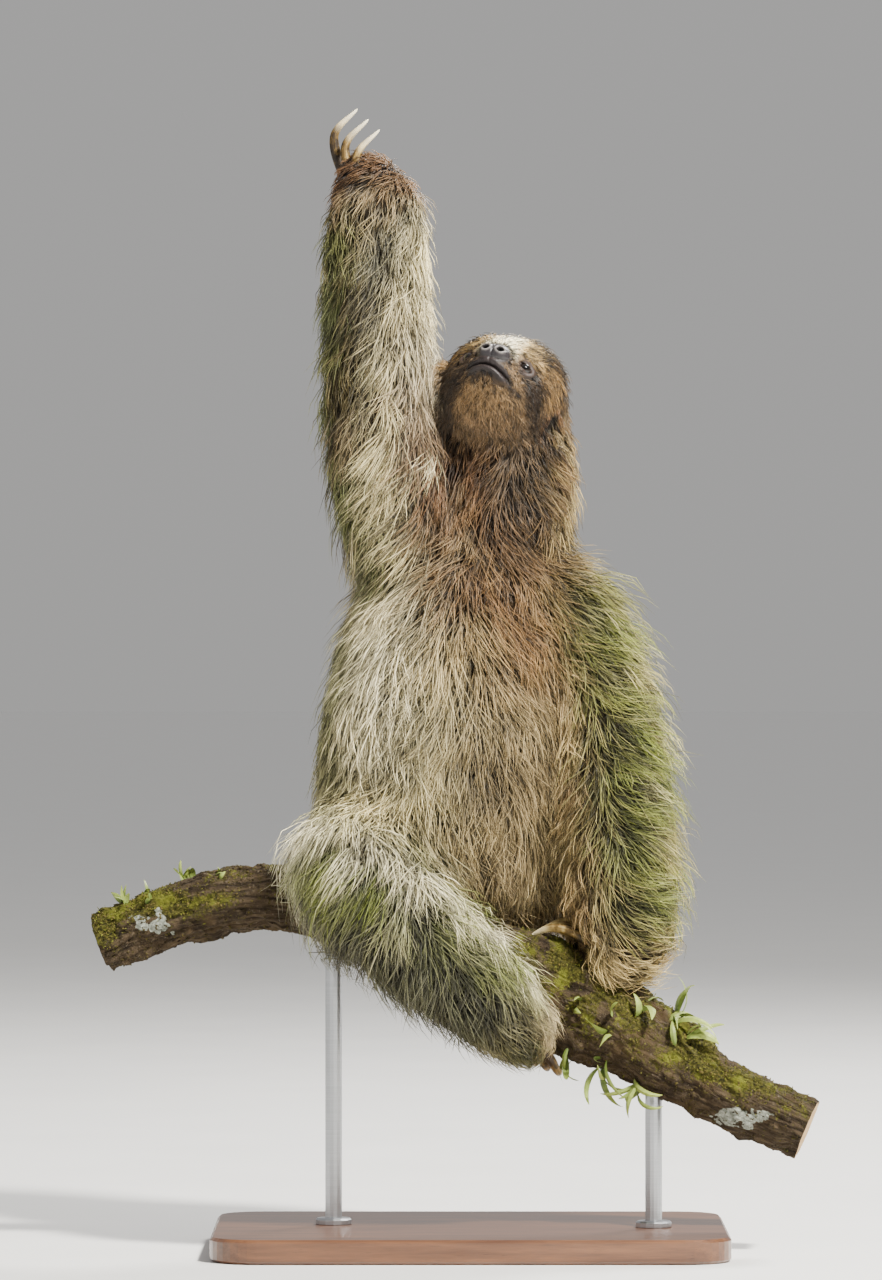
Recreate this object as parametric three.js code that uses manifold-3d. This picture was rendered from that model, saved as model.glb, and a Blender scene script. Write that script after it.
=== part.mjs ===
// A life-size three-toed sloth, sitting upright on a cut length of branch with its right arm raised,
// on a plain display stand. Millimetres, +Z up. The sloth faces -Y, so its left is +X.
// The flesh solids reach out to the tips of the coat.
import * as THREE from "three";
import { mergeVertices } from "three/addons/utils/BufferGeometryUtils.js";
import Module from "manifold-3d";

const wasm = await Module();
wasm.setup();

// ---------------------------------------------------------------- driving dimensions
const GAP = 0.35; // clearance between neighbouring solids
const HEAD_CENTRE = new THREE.Vector3(28, -8, 698);
const HEAD_HALF = { left: 53, up: 50, forward: 50 }; // half-sizes of the furred head without its muzzle
const HEAD_FULLNESS = 2.3; // 2 is an ellipsoid, and more is squarer
const HEAD_PITCH = 43; // degrees that the face looks up
const HEAD_YAW = 8; // degrees that it turns to its right
const HEAD_ROLL = 15; // degrees that its left side drops
const MUZZLE = { length: 14, spread: 0.44, drop: 0.2 };
const EYE = { radius: 6, sunk: 3 }; // the centre lies this far under the coat
const EYE_WAY = new THREE.Vector3(24.9, -5, 46).normalize(); // in the head's own left, up, forward
const SOCKET = { depth: 4, spread: 0.19 };
const CLAW = { deep: 4.8, wide: 3.5, tip: 0.9 }; // half-sizes
const BASE = { length: 420, width: 300, height: 20, corner: 36, bevel: 2.5 };
const ROD = { radius: 7, sunk: 12, foot: 15, footHeight: 5, chamfer: 1.5 };
const ROD_LEFT = { x: -112, y: 13, top: 276 };
const ROD_RIGHT = { x: 150, y: -18, top: 152 };

// Each station is a point on a limb's middle line, then the half-size of the section across and in depth.
const TRUNK = [
  [-34, 38, 236, 66, 60],
  [-34, 33, 288, 88, 80],
  [-29, 20, 356, 100, 95],
  [-19, 13, 432, 104, 95],
  [-5, 11, 504, 97, 84],
  [10, 11, 556, 80, 70],
  [19, 11, 600, 54, 54],
];
const NECK = [
  [16, 13, 540, 62, 66],
  [25, 12, 588, 63, 60],
  [32, 8, 630, 58, 55],
  [35, 5, 664, 52, 50],
  [33, 2, 694, 36, 37],
];
const TAIL = [
  [-34, 80, 296, 27, 24],
  [-36, 110, 282, 22, 20],
  [-37, 130, 258, 16, 15],
];
const ARM_RIGHT = [
  [-20, 14, 508, 58, 56],
  [-49, 9, 588, 57, 55],
  [-71, 4, 670, 51, 51],
  [-76, 0, 750, 48, 46],
  [-77, -4, 815, 45.5, 43],
  [-77, -7, 850, 43, 38],
  [-83, -7, 870, 34, 31],
  [-92, -5, 886, 21, 22],
  [-98, -4, 897, 13, 15],
];
const ARM_LEFT = [
  [30, 16, 560, 48, 48],
  [70, 12, 528, 52, 51],
  [98, 2, 474, 49, 48],
  [116, -10, 408, 47, 46],
  [122, -17, 344, 47, 46],
  [125, -20, 290, 46, 44],
  [122, -20, 252, 40, 38],
  [108, -20, 234, 34, 32],
  [90, -24, 240, 20, 22],
];
const LEG_RIGHT = [
  [-60, 28, 318, 64, 60],
  [-90, -14, 318, 61, 60],
  [-85, -56, 298, 59, 58],
  [-50, -76, 268, 54, 52],
  [-14, -77, 236, 48, 46],
  [20, -70, 206, 40, 38],
  [42, -61, 182, 32, 30],
  [58, -48, 161, 22, 21],
];
const LEG_LEFT = [
  [-8, 34, 290, 64, 60],
  [44, 54, 302, 58, 56],
  [92, 62, 312, 50, 48],
  [115, 54, 286, 42, 42],
  [107, 40, 256, 34, 34],
  [90, 28, 238, 26, 24],
];
const BRANCH = [
  [-303, 42, 249, 25],
  [-262, 36, 267, 27],
  [-205, 28, 284, 29],
  [-140, 18, 286, 29],
  [-60, 6, 260, 33],
  [20, -4, 226, 37],
  [75, -10, 205, 39],
  [120, -15, 183, 38],
  [165, -20, 156, 34],
  [205, -25, 132, 29],
  [275, -35, 102, 27],
];

// A claw runs from its root through its highest bend to its tip; its neighbours lie a step to each side.
const CLAWS = {
  hand_right: { root: [-95, -5, 876], bend: [-102, -6, 905], tip: [-83, -4, 927], step: [9.2, -14, -9.5] },
  hand_left: { root: [92, -24, 250], bend: [72, -16, 267], tip: [48, -6, 256], step: [4.5, 9.5, 2] },
  foot_right: { root: [55, -56, 164], bend: [62, -38, 152], tip: [65, -9, 153], step: [9.5, 1.5, -4] },
  foot_left: { root: [88, 30, 236], bend: [84, 43, 210], tip: [81, 35, 181], step: [9.5, -1.5, -4] },
};

// In the head's own left, up and forward.
const NOSE = { at: [0, -8.5, 58.5], half: [12.5, 7, 7.3] };
const NOSTRIL = { apart: 6, up: -9, forward: 65.5, half: [2.5, 2, 3] };
const EAR = { at: [48.5, -14, -3], half: [7, 9, 5], hollow: 0.6 };
const MOUTH = { up: -21, half: 23, forward: 60, sweep: 19, radius: 1.3 };

const COLOURS = {
  fur_pale: [0.72, 0.64, 0.5],
  fur_brown: [0.42, 0.3, 0.19],
  fur_green: [0.45, 0.44, 0.26],
  eye: [0.05, 0.03, 0.02],
  nose: [0.12, 0.1, 0.1],
  claw: [0.78, 0.68, 0.48],
  bark: [0.25, 0.2, 0.13],
  wood: [0.2, 0.13, 0.08],
  steel: [0.6, 0.6, 0.62],
};

// ---------------------------------------------------------------- shapes
const vector = ([x, y, z]) => new THREE.Vector3(x, y, z);
const clamp01 = (v) => Math.min(1, Math.max(0, v));

/** A closed three.js geometry as a solid, with its shared vertices merged. */
function solid(geometry) {
  const bare = geometry.clone();
  bare.deleteAttribute("normal");
  bare.deleteAttribute("uv");
  const merged = mergeVertices(bare, 1e-3);
  return new wasm.Manifold(
    new wasm.Mesh({
      numProp: 3,
      vertProperties: merged.attributes.position.array,
      triVerts: new Uint32Array(merged.index.array),
    }),
  );
}

/** Moves each vertex of a sphere of radius 1 to place(vertex), and gives the solid. */
function sphereMovedTo(place, around, along) {
  const sphere = new THREE.SphereGeometry(1, around, along);
  const at = sphere.attributes.position;
  const from = new THREE.Vector3();
  for (let i = 0; i < at.count; i++) {
    const to = place(from.fromBufferAttribute(at, i));
    at.setXYZ(i, to.x, to.y, to.z);
  }
  return solid(sphere);
}

/** The side direction at each loop of a curve: the first one follows `across`, and none twists. */
function sidesAlong(spine, loops, across) {
  const sides = [];
  let side = vector(across);
  for (const t of loops) {
    const tangent = spine.getTangent(t);
    side = side.clone().addScaledVector(tangent, -side.dot(tangent)).normalize();
    sides.push(side);
  }
  return sides;
}

/**
 * A limb: a sphere drawn out along the smooth line through the stations, with their half-sizes.
 * `across` is the direction of the first half-size; `round` is the share of the length that rounds
 * off at each end, and 0 gives flat ends; `grow` makes the limb thicker, for cutting room.
 */
function drawnOut(stations, options = {}) {
  const { around = 14, along = 16, round = 0.16, across = [1, 0, 0], grow = 0, swell = () => 1 } = options;
  const spine = new THREE.CatmullRomCurve3(stations.map(vector));
  const halfSizes = stations.map(([, , , wide, deep = wide]) => vector([wide, deep, 0]));
  const sizes = new THREE.CatmullRomCurve3(halfSizes);
  const shares = Array.from({ length: along + 1 }, (_, i) => i / along);
  // Rounded limbs have their loops closer together at the ends; flat ones double the two end loops.
  const loops = shares.map((share) =>
    round ? (share + (1 - Math.cos(Math.PI * share)) / 2) / 2 : clamp01((share * along - 1) / (along - 2)),
  );
  const sides = sidesAlong(spine, loops, across);
  return sphereMovedTo(
    (p) => {
      const loop = Math.round((Math.acos(THREE.MathUtils.clamp(p.y, -1, 1)) / Math.PI) * along);
      const t = loops[loop];
      const off = round ? clamp01(1 - Math.min(t, 1 - t) / round) : Number(loop % along === 0);
      const full = Math.sqrt(1 - off * off);
      const angle = Math.atan2(p.z, p.x);
      const size = sizes.getPoint(t).multiplyScalar(swell(t, angle));
      const tangent = spine.getTangent(t);
      return spine
        .getPoint(t)
        .addScaledVector(sides[loop], full * (size.x + grow) * Math.cos(angle))
        .addScaledVector(tangent.clone().cross(sides[loop]), full * (size.y + grow) * Math.sin(angle))
        .addScaledVector(tangent, grow * off * Math.sign(t - 0.5));
    },
    around,
    along,
  );
}

/** Cuts a solid across at the given points on its stations, and gives the pieces from the first on. */
function divided(whole, stations, cuts) {
  const spine = new THREE.CatmullRomCurve3(stations.map(vector));
  const pieces = [];
  let rest = whole;
  for (const cut of cuts) {
    const t = cut / (stations.length - 1);
    const normal = spine.getTangent(t);
    const offset = normal.dot(spine.getPoint(t));
    pieces.push(rest.trimByPlane([-normal.x, -normal.y, -normal.z], GAP / 2 - offset));
    rest = rest.trimByPlane([normal.x, normal.y, normal.z], offset + GAP / 2);
  }
  return [...pieces, rest];
}

/** The largest of a solid's separate bodies: a cut can leave a crumb behind. */
function largestOf(made) {
  return made.decompose().reduce((a, b) => (b.volume() > a.volume() ? b : a));
}

// ---------------------------------------------------------------- the head's own frame
const toRadians = THREE.MathUtils.degToRad;

/** The head's left, up and forward directions, from its pitch, yaw and roll. */
function headFrame() {
  const [pitch, yaw, roll] = [HEAD_PITCH, HEAD_YAW, HEAD_ROLL].map(toRadians);
  const forward = new THREE.Vector3(
    -Math.sin(yaw) * Math.cos(pitch),
    -Math.cos(yaw) * Math.cos(pitch),
    Math.sin(pitch),
  );
  const level = new THREE.Vector3(Math.cos(yaw), -Math.sin(yaw), 0);
  const upright = forward.clone().cross(level);
  const left = level.clone().multiplyScalar(Math.cos(roll)).addScaledVector(upright, -Math.sin(roll));
  return new THREE.Matrix4()
    .makeBasis(left, forward.clone().cross(left), forward)
    .setPosition(HEAD_CENTRE);
}
const HEAD_FRAME = headFrame();
const inHead = (x, y, z) => new THREE.Vector3(x, y, z).applyMatrix4(HEAD_FRAME);

/** How far the head's surface lies from its centre in a direction: an ellipsoid, a muzzle and two sockets. */
function headReach(direction) {
  const { left, up, forward } = HEAD_HALF;
  const shares = [direction.x / left, direction.y / up, direction.z / forward];
  const skull = shares.reduce((sum, v) => sum + Math.abs(v) ** HEAD_FULLNESS, 0) ** (-1 / HEAD_FULLNESS);
  const muzzleWay = new THREE.Vector3(0, -MUZZLE.drop, 1).normalize();
  const muzzle = MUZZLE.length * Math.exp(-((direction.angleTo(muzzleWay) / MUZZLE.spread) ** 2));
  const eyeWay = EYE_WAY.clone().setX(Math.sign(direction.x || 1) * EYE_WAY.x);
  const socket = SOCKET.depth * Math.exp(-((direction.angleTo(eyeWay) / SOCKET.spread) ** 2));
  return skull + muzzle - socket;
}

/** The head, with the sphere's poles on the muzzle and the back of the skull. */
function headForm(grow = 0, around = 22, along = 18) {
  const muzzleWay = new THREE.Vector3(0, -MUZZLE.drop, 1).normalize();
  const left = new THREE.Vector3(1, 0, 0);
  const below = left.clone().cross(muzzleWay);
  return sphereMovedTo(
    (p) => {
      const way = new THREE.Vector3()
        .addScaledVector(left, p.x)
        .addScaledVector(muzzleWay, p.y)
        .addScaledVector(below, p.z)
        .normalize();
      return way.multiplyScalar(headReach(way) + grow).applyMatrix4(HEAD_FRAME);
    },
    around,
    along,
  );
}

/** An ellipsoid in the head's frame. */
function headOval([x, y, z], [left, up, forward], around = 10, along = 7) {
  return sphereMovedTo((p) => inHead(x + left * p.x, y + up * p.y, z + forward * p.z), around, along);
}

/** The line of the closed lips: a thin round cut that follows the muzzle from corner to corner. */
function mouthLine() {
  const { up, half, forward, sweep, radius } = MOUTH;
  const points = [-1, -0.75, -0.45, 0, 0.45, 0.75, 1].map((share) => {
    const way = new THREE.Vector3(half * share, up, forward - sweep * share * share).normalize();
    return way.multiplyScalar(headReach(way));
  });
  const line = new THREE.CatmullRomCurve3(points.map((p) => p.applyMatrix4(HEAD_FRAME)));
  const section = new THREE.Shape().absarc(0, 0, radius, 0, 2 * Math.PI);
  return solid(new THREE.ExtrudeGeometry(section, { steps: 8, extrudePath: line, curveSegments: 2 }));
}

function noseForm(grow = 0) {
  return headOval(NOSE.at, NOSE.half.map((v) => v + grow), 12, 7);
}

function nose() {
  return [-1, 1].reduce((made, side) => {
    const hole = headOval([side * NOSTRIL.apart, NOSTRIL.up, NOSTRIL.forward], NOSTRIL.half, 7, 5);
    return made.subtract(hole);
  }, noseForm());
}

function eyeForm(side, grow = 0) {
  const half = EYE.radius + grow;
  const [x, y, z] = EYE_WAY.clone().multiplyScalar(headReach(EYE_WAY) - EYE.sunk);
  return headOval([side * x, y, z], [half, half, half]);
}

/** An ear: a small shallow cup that stands a little out of the coat. */
function earForm(side, grow = 0) {
  const [x, y, z] = EAR.at;
  return headOval([side * x, y, z], EAR.half.map((v) => v + grow), 8, 6);
}

function ear(side) {
  const [x, y, z] = EAR.at;
  const hollow = EAR.half.map((v) => v * EAR.hollow);
  return earForm(side).subtract(headOval([side * (x + EAR.half[0]), y, z], hollow, 7, 5));
}

// ---------------------------------------------------------------- claws
function clawForm(limb, index, grow = 0) {
  const { root, bend, tip, step } = CLAWS[limb];
  const side = index - 1;
  const shifted = (point) => point.map((v, i) => v + side * step[i]);
  const [a, b, c] = [root, bend, tip].map(shifted);
  const stations = [
    [...a, CLAW.wide, CLAW.deep],
    [...b, CLAW.wide * 0.9, CLAW.deep * 0.85],
    [...c, CLAW.tip, CLAW.tip],
  ];
  const bendPlane = vector(a).sub(vector(b)).cross(vector(c).sub(vector(b)));
  return drawnOut(stations, { around: 7, along: 6, round: 0.12, across: bendPlane.toArray(), grow });
}

function clawsOf(limb, grow = 0) {
  return [0, 1, 2].map((index) => clawForm(limb, index, grow));
}

// ---------------------------------------------------------------- the perch and its stand
/** Knots and hollows of the branch: its radius at t along it and an angle around it, as a share. */
function knots(t, angle) {
  const swirl = 0.05 * Math.sin(9 * t + 2 * angle);
  const lumps = 0.035 * Math.sin(23 * t - 3 * angle);
  return 1 + swirl + lumps + 0.02 * Math.sin(41 * t);
}

function branchForm(grow = 0) {
  return drawnOut(BRANCH, { around: 12, along: 20, round: 0, across: [0, 1, 0], grow, swell: knots });
}

function standBase() {
  const { length, width, height, corner, bevel } = BASE;
  const [x, y] = [length / 2 - bevel, width / 2 - bevel];
  const outline = new THREE.Shape()
    .moveTo(corner - x, -y)
    .lineTo(x - corner, -y)
    .absarc(x - corner, corner - y, corner, -Math.PI / 2, 0)
    .absarc(x - corner, y - corner, corner, 0, Math.PI / 2)
    .absarc(corner - x, y - corner, corner, Math.PI / 2, Math.PI)
    .absarc(corner - x, corner - y, corner, Math.PI, 1.5 * Math.PI);
  const slab = new THREE.ExtrudeGeometry(outline, {
    depth: height - 2 * bevel,
    bevelThickness: bevel,
    bevelSize: bevel,
    bevelSegments: 1,
    curveSegments: 4,
  });
  return solid(slab.translate(0, 0, bevel));
}

/** An upright rod with a chamfered foot on the base; it stands in a hole of the base and of the branch. */
function rodForm({ x, y, top }, grow = 0) {
  const { radius, sunk, foot, footHeight, chamfer } = ROD;
  const bottom = BASE.height - sunk;
  const rim = BASE.height + GAP;
  const profile = [
    [0, bottom - grow],
    [radius + grow, bottom - grow],
    [radius + grow, rim],
    [foot, rim],
    [foot, rim + footHeight - chamfer],
    [foot - chamfer, rim + footHeight],
    [radius + grow, rim + footHeight],
    [radius + grow, top + grow],
    [0, top + grow],
  ].map(([r, z]) => new THREE.Vector2(r, z));
  return solid(new THREE.LatheGeometry(profile, 14).rotateX(Math.PI / 2).translate(x, y, 0));
}

// ---------------------------------------------------------------- the assembly
const less = (made, ...cutters) => cutters.reduce((left, cutter) => left.subtract(cutter), made);

const rods = { left: rodForm(ROD_LEFT), right: rodForm(ROD_RIGHT) };
const rodRoom = [rodForm(ROD_LEFT, GAP), rodForm(ROD_RIGHT, GAP)];
const perch = less(branchForm(), ...rodRoom);
const perchRoom = branchForm(GAP);

const trunkOptions = { around: 20, along: 16, round: 0.22 };
const trunk = less(drawnOut(TRUNK, trunkOptions), perchRoom);
const trunkRoom = drawnOut(TRUNK, { ...trunkOptions, grow: GAP });

const headRoom = headForm(5 * GAP, 18, 14);
const earRoom = [earForm(-1, GAP), earForm(1, GAP)];
const head = less(
  headForm(),
  noseForm(GAP),
  eyeForm(-1, GAP),
  eyeForm(1, GAP),
  ...earRoom,
  mouthLine(),
);

const neckOptions = { around: 16, along: 8, round: 0.2 };
const neckRoom = drawnOut(NECK, { ...neckOptions, grow: GAP });
const neck = less(drawnOut(NECK, neckOptions), trunkRoom, headRoom, ...earRoom);
const tail = less(drawnOut(TAIL, { around: 10, along: 7, round: 0.35 }), trunkRoom);

const bodyRoom = [trunkRoom, neckRoom, headRoom, ...earRoom];
const armLeftForm = (grow = 0) => drawnOut(ARM_LEFT, { along: 15, grow });
const armRightForm = () => drawnOut(ARM_RIGHT, { along: 15, round: 0.12 });
const legRightForm = () => drawnOut(LEG_RIGHT, { along: 14, across: [0, 0, 1] });
const legLeftForm = () => drawnOut(LEG_LEFT, { along: 12, across: [0, 0, 1] });

const limbs = {
  arm_right: {
    names: ["arm_right_upper", "arm_right_forearm", "hand_right"],
    pieces: divided(less(armRightForm(), ...bodyRoom, ...clawsOf("hand_right", GAP)), ARM_RIGHT, [2.1, 5]),
  },
  arm_left: {
    names: ["arm_left_upper", "arm_left_forearm", "hand_left"],
    pieces: divided(
      less(armLeftForm(), ...bodyRoom, perchRoom, ...clawsOf("hand_left", GAP)),
      ARM_LEFT,
      [3.2, 5.8],
    ),
  },
  leg_right: {
    names: ["leg_right_thigh", "leg_right_shank", "foot_right"],
    pieces: divided(
      less(legRightForm(), trunkRoom, perchRoom, ...clawsOf("foot_right", GAP)),
      LEG_RIGHT,
      [2.3, 5.6],
    ),
  },
  leg_left: {
    names: ["leg_left_thigh", "leg_left_shank", "foot_left"],
    pieces: divided(
      less(legLeftForm(), trunkRoom, perchRoom, armLeftForm(GAP), ...clawsOf("foot_left", GAP)),
      LEG_LEFT,
      [2.2, 4],
    ),
  },
};

// ---------------------------------------------------------------- meshes
const materials = Object.fromEntries(
  Object.entries(COLOURS).map(([name, [r, g, b]]) => [
    name,
    new THREE.MeshStandardMaterial({
      name,
      color: new THREE.Color(r, g, b),
      roughness: { eye: 0.08, nose: 0.4, claw: 0.35, steel: 0.3, wood: 0.45 }[name] ?? 0.95,
      metalness: name === "steel" ? 1 : 0,
    }),
  ]),
);

/** A named mesh of a solid, whose own origin lies at the middle of the solid's box. */
function meshOf(name, made, material) {
  const { numProp, vertProperties, triVerts } = largestOf(made).getMesh();
  const count = vertProperties.length / numProp;
  const positions = new Float32Array(count * 3);
  for (let i = 0; i < count; i++) {
    positions.set(vertProperties.subarray(i * numProp, i * numProp + 3), i * 3);
  }
  const geometry = new THREE.BufferGeometry()
    .setAttribute("position", new THREE.BufferAttribute(positions, 3))
    .setIndex(new THREE.BufferAttribute(triVerts, 1));
  geometry.computeBoundingBox();
  const middle = geometry.boundingBox.getCenter(new THREE.Vector3()).round();
  geometry.translate(-middle.x, -middle.y, -middle.z);
  geometry.computeVertexNormals();
  const mesh = new THREE.Mesh(geometry, materials[material]);
  mesh.name = name;
  mesh.position.copy(middle);
  return mesh;
}

const sloth = new THREE.Group();
sloth.add(
  meshOf("trunk", trunk, "fur_pale"),
  meshOf("neck", neck, "fur_brown"),
  meshOf("tail", tail, "fur_pale"),
  meshOf("head", head, "fur_brown"),
  meshOf("nose", nose(), "nose"),
);
for (const [name, side] of [["left", 1], ["right", -1]]) {
  sloth.add(meshOf("eye_" + name, eyeForm(side), "eye"));
  sloth.add(meshOf("ear_" + name, ear(side), "fur_brown"));
}
for (const [limb, { names, pieces }] of Object.entries(limbs)) {
  const group = new THREE.Group();
  const material = limb === "arm_left" ? "fur_green" : "fur_pale";
  names.forEach((name, i) => group.add(meshOf(name, pieces[i], material)));
  const end = names.at(-1);
  clawsOf(end).forEach((claw, i) => {
    group.add(meshOf("claw_" + end + "_" + (i + 1), less(claw, perchRoom), "claw"));
  });
  sloth.add(group);
}

const stand = new THREE.Group();
stand.add(
  meshOf("stand_base", less(standBase(), ...rodRoom), "wood"),
  meshOf("stand_rod_left", rods.left, "steel"),
  meshOf("stand_rod_right", rods.right, "steel"),
);

const model = new THREE.Group();
model.add(sloth, meshOf("perch", perch, "bark"), stand);

export default model;
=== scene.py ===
"""A three-toed sloth sitting on a cut branch above a display base, life size.

Places and sizes are millimetres in this script, and mesh_from() turns them into Blender's metres.
The sloth's right arm is on the camera's left. X runs to the camera's right, Y away from it and Z up.
"""
import math

import bmesh
import bpy
import numpy as np
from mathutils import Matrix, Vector


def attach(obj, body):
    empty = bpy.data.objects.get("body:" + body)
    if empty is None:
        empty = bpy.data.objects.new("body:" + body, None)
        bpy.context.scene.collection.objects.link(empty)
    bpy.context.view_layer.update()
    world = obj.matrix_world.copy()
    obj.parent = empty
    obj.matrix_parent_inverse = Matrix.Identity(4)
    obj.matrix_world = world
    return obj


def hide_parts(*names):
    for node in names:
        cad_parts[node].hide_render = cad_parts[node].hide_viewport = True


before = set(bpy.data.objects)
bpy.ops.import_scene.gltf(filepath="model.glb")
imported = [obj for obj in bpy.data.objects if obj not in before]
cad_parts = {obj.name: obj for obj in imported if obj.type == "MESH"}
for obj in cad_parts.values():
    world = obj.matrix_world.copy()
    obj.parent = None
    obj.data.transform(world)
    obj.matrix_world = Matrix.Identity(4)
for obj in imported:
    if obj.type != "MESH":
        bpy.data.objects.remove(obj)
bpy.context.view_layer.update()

MM = 0.001
SEED = 31
SCREEN_GAMMA = 2.2
LATTICE = 32  # cells of the noise before it repeats

# ---------------------------------------------------------------- the animal's sizes, as the solids have them
# Each station of a limb: x, y, z, radius, depth of the coat, length of its hairs.
LIMBS = {
    "trunk": (
        (-34, 38, 236, 63, 10, 34), (-34, 33, 288, 84, 14, 40), (-29, 20, 356, 98, 15, 42),
        (-19, 13, 432, 100, 15, 42), (-5, 11, 504, 90, 14, 42), (10, 11, 556, 75, 12, 40),
        (19, 11, 600, 54, 11, 36),
    ),
    "neck": (
        (16, 13, 540, 64, 12, 40), (25, 12, 588, 61, 12, 36), (32, 8, 630, 56, 10, 30),
        (35, 5, 664, 51, 8, 24), (33, 2, 694, 36, 7, 20),
    ),
    "head": ((29, -2, 690, 50, 6, 16), (26, -16, 708, 50, 4, 10)),
    "tail": ((-34, 80, 296, 25, 8, 26), (-36, 110, 282, 21, 7, 24), (-37, 130, 258, 15, 6, 20)),
    "arm_right": (
        (-20, 14, 508, 57, 13, 42), (-49, 9, 588, 56, 13, 42), (-71, 4, 670, 51, 12, 38),
        (-76, 0, 750, 47, 11, 34), (-77, -4, 815, 44, 10, 30), (-77, -7, 850, 40, 9, 26),
        (-83, -7, 870, 32, 7, 20), (-92, -5, 886, 21, 4, 11), (-98, -4, 897, 14, 3, 8),
    ),
    "arm_left": (
        (30, 16, 560, 48, 12, 38), (70, 12, 528, 51, 13, 38), (98, 2, 474, 48, 13, 34),
        (116, -10, 408, 46, 13, 34), (122, -17, 344, 46, 13, 34), (125, -20, 290, 45, 12, 34),
        (122, -20, 252, 39, 10, 30), (108, -20, 234, 33, 8, 22), (90, -24, 240, 21, 5, 12),
    ),
    "leg_right": (
        (-60, 28, 318, 62, 13, 40), (-90, -14, 318, 60, 13, 42), (-85, -56, 298, 58, 13, 42),
        (-50, -76, 268, 53, 13, 40), (-14, -77, 236, 47, 12, 36), (20, -70, 206, 39, 10, 30),
        (42, -61, 182, 31, 7, 22), (58, -48, 161, 21, 5, 12),
    ),
    "leg_left": (
        (-8, 34, 290, 62, 13, 38), (44, 54, 302, 57, 13, 38), (92, 62, 312, 49, 12, 36),
        (115, 54, 286, 42, 10, 30), (107, 40, 256, 34, 8, 24), (90, 28, 238, 25, 5, 12),
    ),
}
# How each limb is combed: station, then the hairs' way on its camera-left side and on its camera-right side.
COMBS = {
    "trunk": ((0, (-.2, .2, -1), (.2, .2, -1)), (6, (-.45, .2, -1), (.45, .2, -1))),
    "neck": ((0, (-.4, .2, -1), (.45, .2, -1)), (4, (-.15, .2, -1), (.2, .2, -1))),
    "head": ((0, (-.2, .3, -1), (.2, .3, -1)), (1, (-.2, .3, -1), (.2, .3, -1))),
    "tail": ((0, (-.2, .8, -1), (.2, .8, -1)), (2, (-.1, .5, -1), (.1, .5, -1))),
    "arm_right": (
        (0, (-.6, .1, -1), (-.5, .1, -1)), (2, (-.55, .1, -1), (-.5, .1, -1)),
        (3, (-.2, .1, -1), (-.3, .1, -1)), (5, (-.2, .1, -1), (-.3, .1, -1)),
        (6, (-.8, .2, -.7), (-.7, .2, -.7)), (8, (-.7, .2, -.7), (-.7, .1, -.7)),
    ),
    "arm_left": (
        (0, (.1, .2, -1), (.6, .2, -.8)), (1, (.5, .1, -.8), (.9, .2, -.5)),
        (3, (.0, .1, -1), (1, .2, -.4)), (4.2, (-.1, .1, -1), (1, .1, -.3)),
        (5.2, (.1, .1, -1), (1, .1, -.3)), (6, (.3, -.1, -.9), (1, .1, -.4)),
        (8, (.3, -.2, -.9), (.6, -.2, -.7)),
    ),
    "leg_right": (
        (0, (-.6, .2, -1), (-.3, 0, -1)), (1, (-.7, .3, -.8), (-.2, -.1, -1)),
        (3, (-.6, .2, -.8), (.9, .1, -.6)), (5, (-.4, .1, -.9), (.9, .1, -.6)),
        (6, (-.2, 0, -1), (.8, 0, -.7)), (7, (0, 0, -1), (.5, 0, -.9)),
    ),
    "leg_left": ((0, (-.1, .3, -1), (.4, .3, -1)), (5, (-.1, .2, -1), (.3, .2, -1))),
}
SHAGGY = {"leg_right": 2.2, "arm_left": 2.8, "arm_right": 1.7, "neck": 1.4}  # how much more hairs stand out
CROWN_SHAGGY = 0.5  # the same on the crown, added
KNEE_COMB = (0, -1.5, 0)  # added to the comb on top of the folded leg, where the coat falls forward
FACE_HANGS = (0, 0, -.35)  # added to the comb of the face
FACE_HAIR = {"short": 6, "more": 14}  # length by the muzzle, and how much is added farther back
EAR_SHORTER = 0.6  # how much shorter the hairs are round the ear
SWIRL = 1.1  # radians by which the lie of the coat wanders
FLESH = (
    "trunk", "neck", "tail", "head", "ear_left", "ear_right",
    "arm_right_upper", "arm_right_forearm", "hand_right",
    "arm_left_upper", "arm_left_forearm", "hand_left",
    "leg_right_thigh", "leg_right_shank", "foot_right",
    "leg_left_thigh", "leg_left_shank", "foot_left",
)

# Places on the head are its own left, up and forward, from its centre.
HEAD_CENTRE = np.array((28.0, -8.0, 698.0))
HEAD_HALF = np.array((53.0, 50.0, 50.0))
HEAD_FULLNESS = 2.3
HEAD_PITCH, HEAD_YAW, HEAD_ROLL = np.radians((43, 8, 15))
MUZZLE = {"length": 14, "spread": 0.44, "drop": 0.2}
EYE = {"radius": 6, "sunk": 3.5, "wide": 5.8, "tall": 3.3}
EYE_WAY = np.array((24.9, -5, 46))
SOCKET = {"depth": 4, "spread": 0.19}
NOSE = {"at": (0, -8.5, 58.5), "half": (12.5, 7, 7.3)}
MOUTH = {"up": -21, "half": 24, "forward": 60, "sweep": 18, "droop": 5, "tilt": 2.5}
EAR = {"at": (48.5, -17.5, 0), "half": (9, 7)}
# Small forms of the face. A ridge is a bell: its height, where it lies, and its width.
LIPS = ((1.5, 4.2, 2.8), (2.2, -3.6, 2.4))  # where: above the mouth's line
LID_FOLDS = ((.6, 1.45, .12), (.5, 1.95, .16), (.4, 2.5, .2))  # where: in half-widths of the eye's opening
LIP_GROOVE = 3.4  # depths and heights from here on
NOSE_FURROW = 0.8
NOSE_SEAT = 2.5
LID_OVER = 0.8
EYE_HOLE = 6
BROW = 1.2
EAR_RIM = 2.6
EAR_HOLLOW = 7

SWELL = 1.6  # how far the solids grow into each other before they are made one skin
VOXEL = 3.8  # the net of the body's skin
FACE_OVER = 3.0  # how far the face's finer skin lies over it
SHARES_FALL = 9  # how steeply a limb's share of a point falls off with distance
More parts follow.
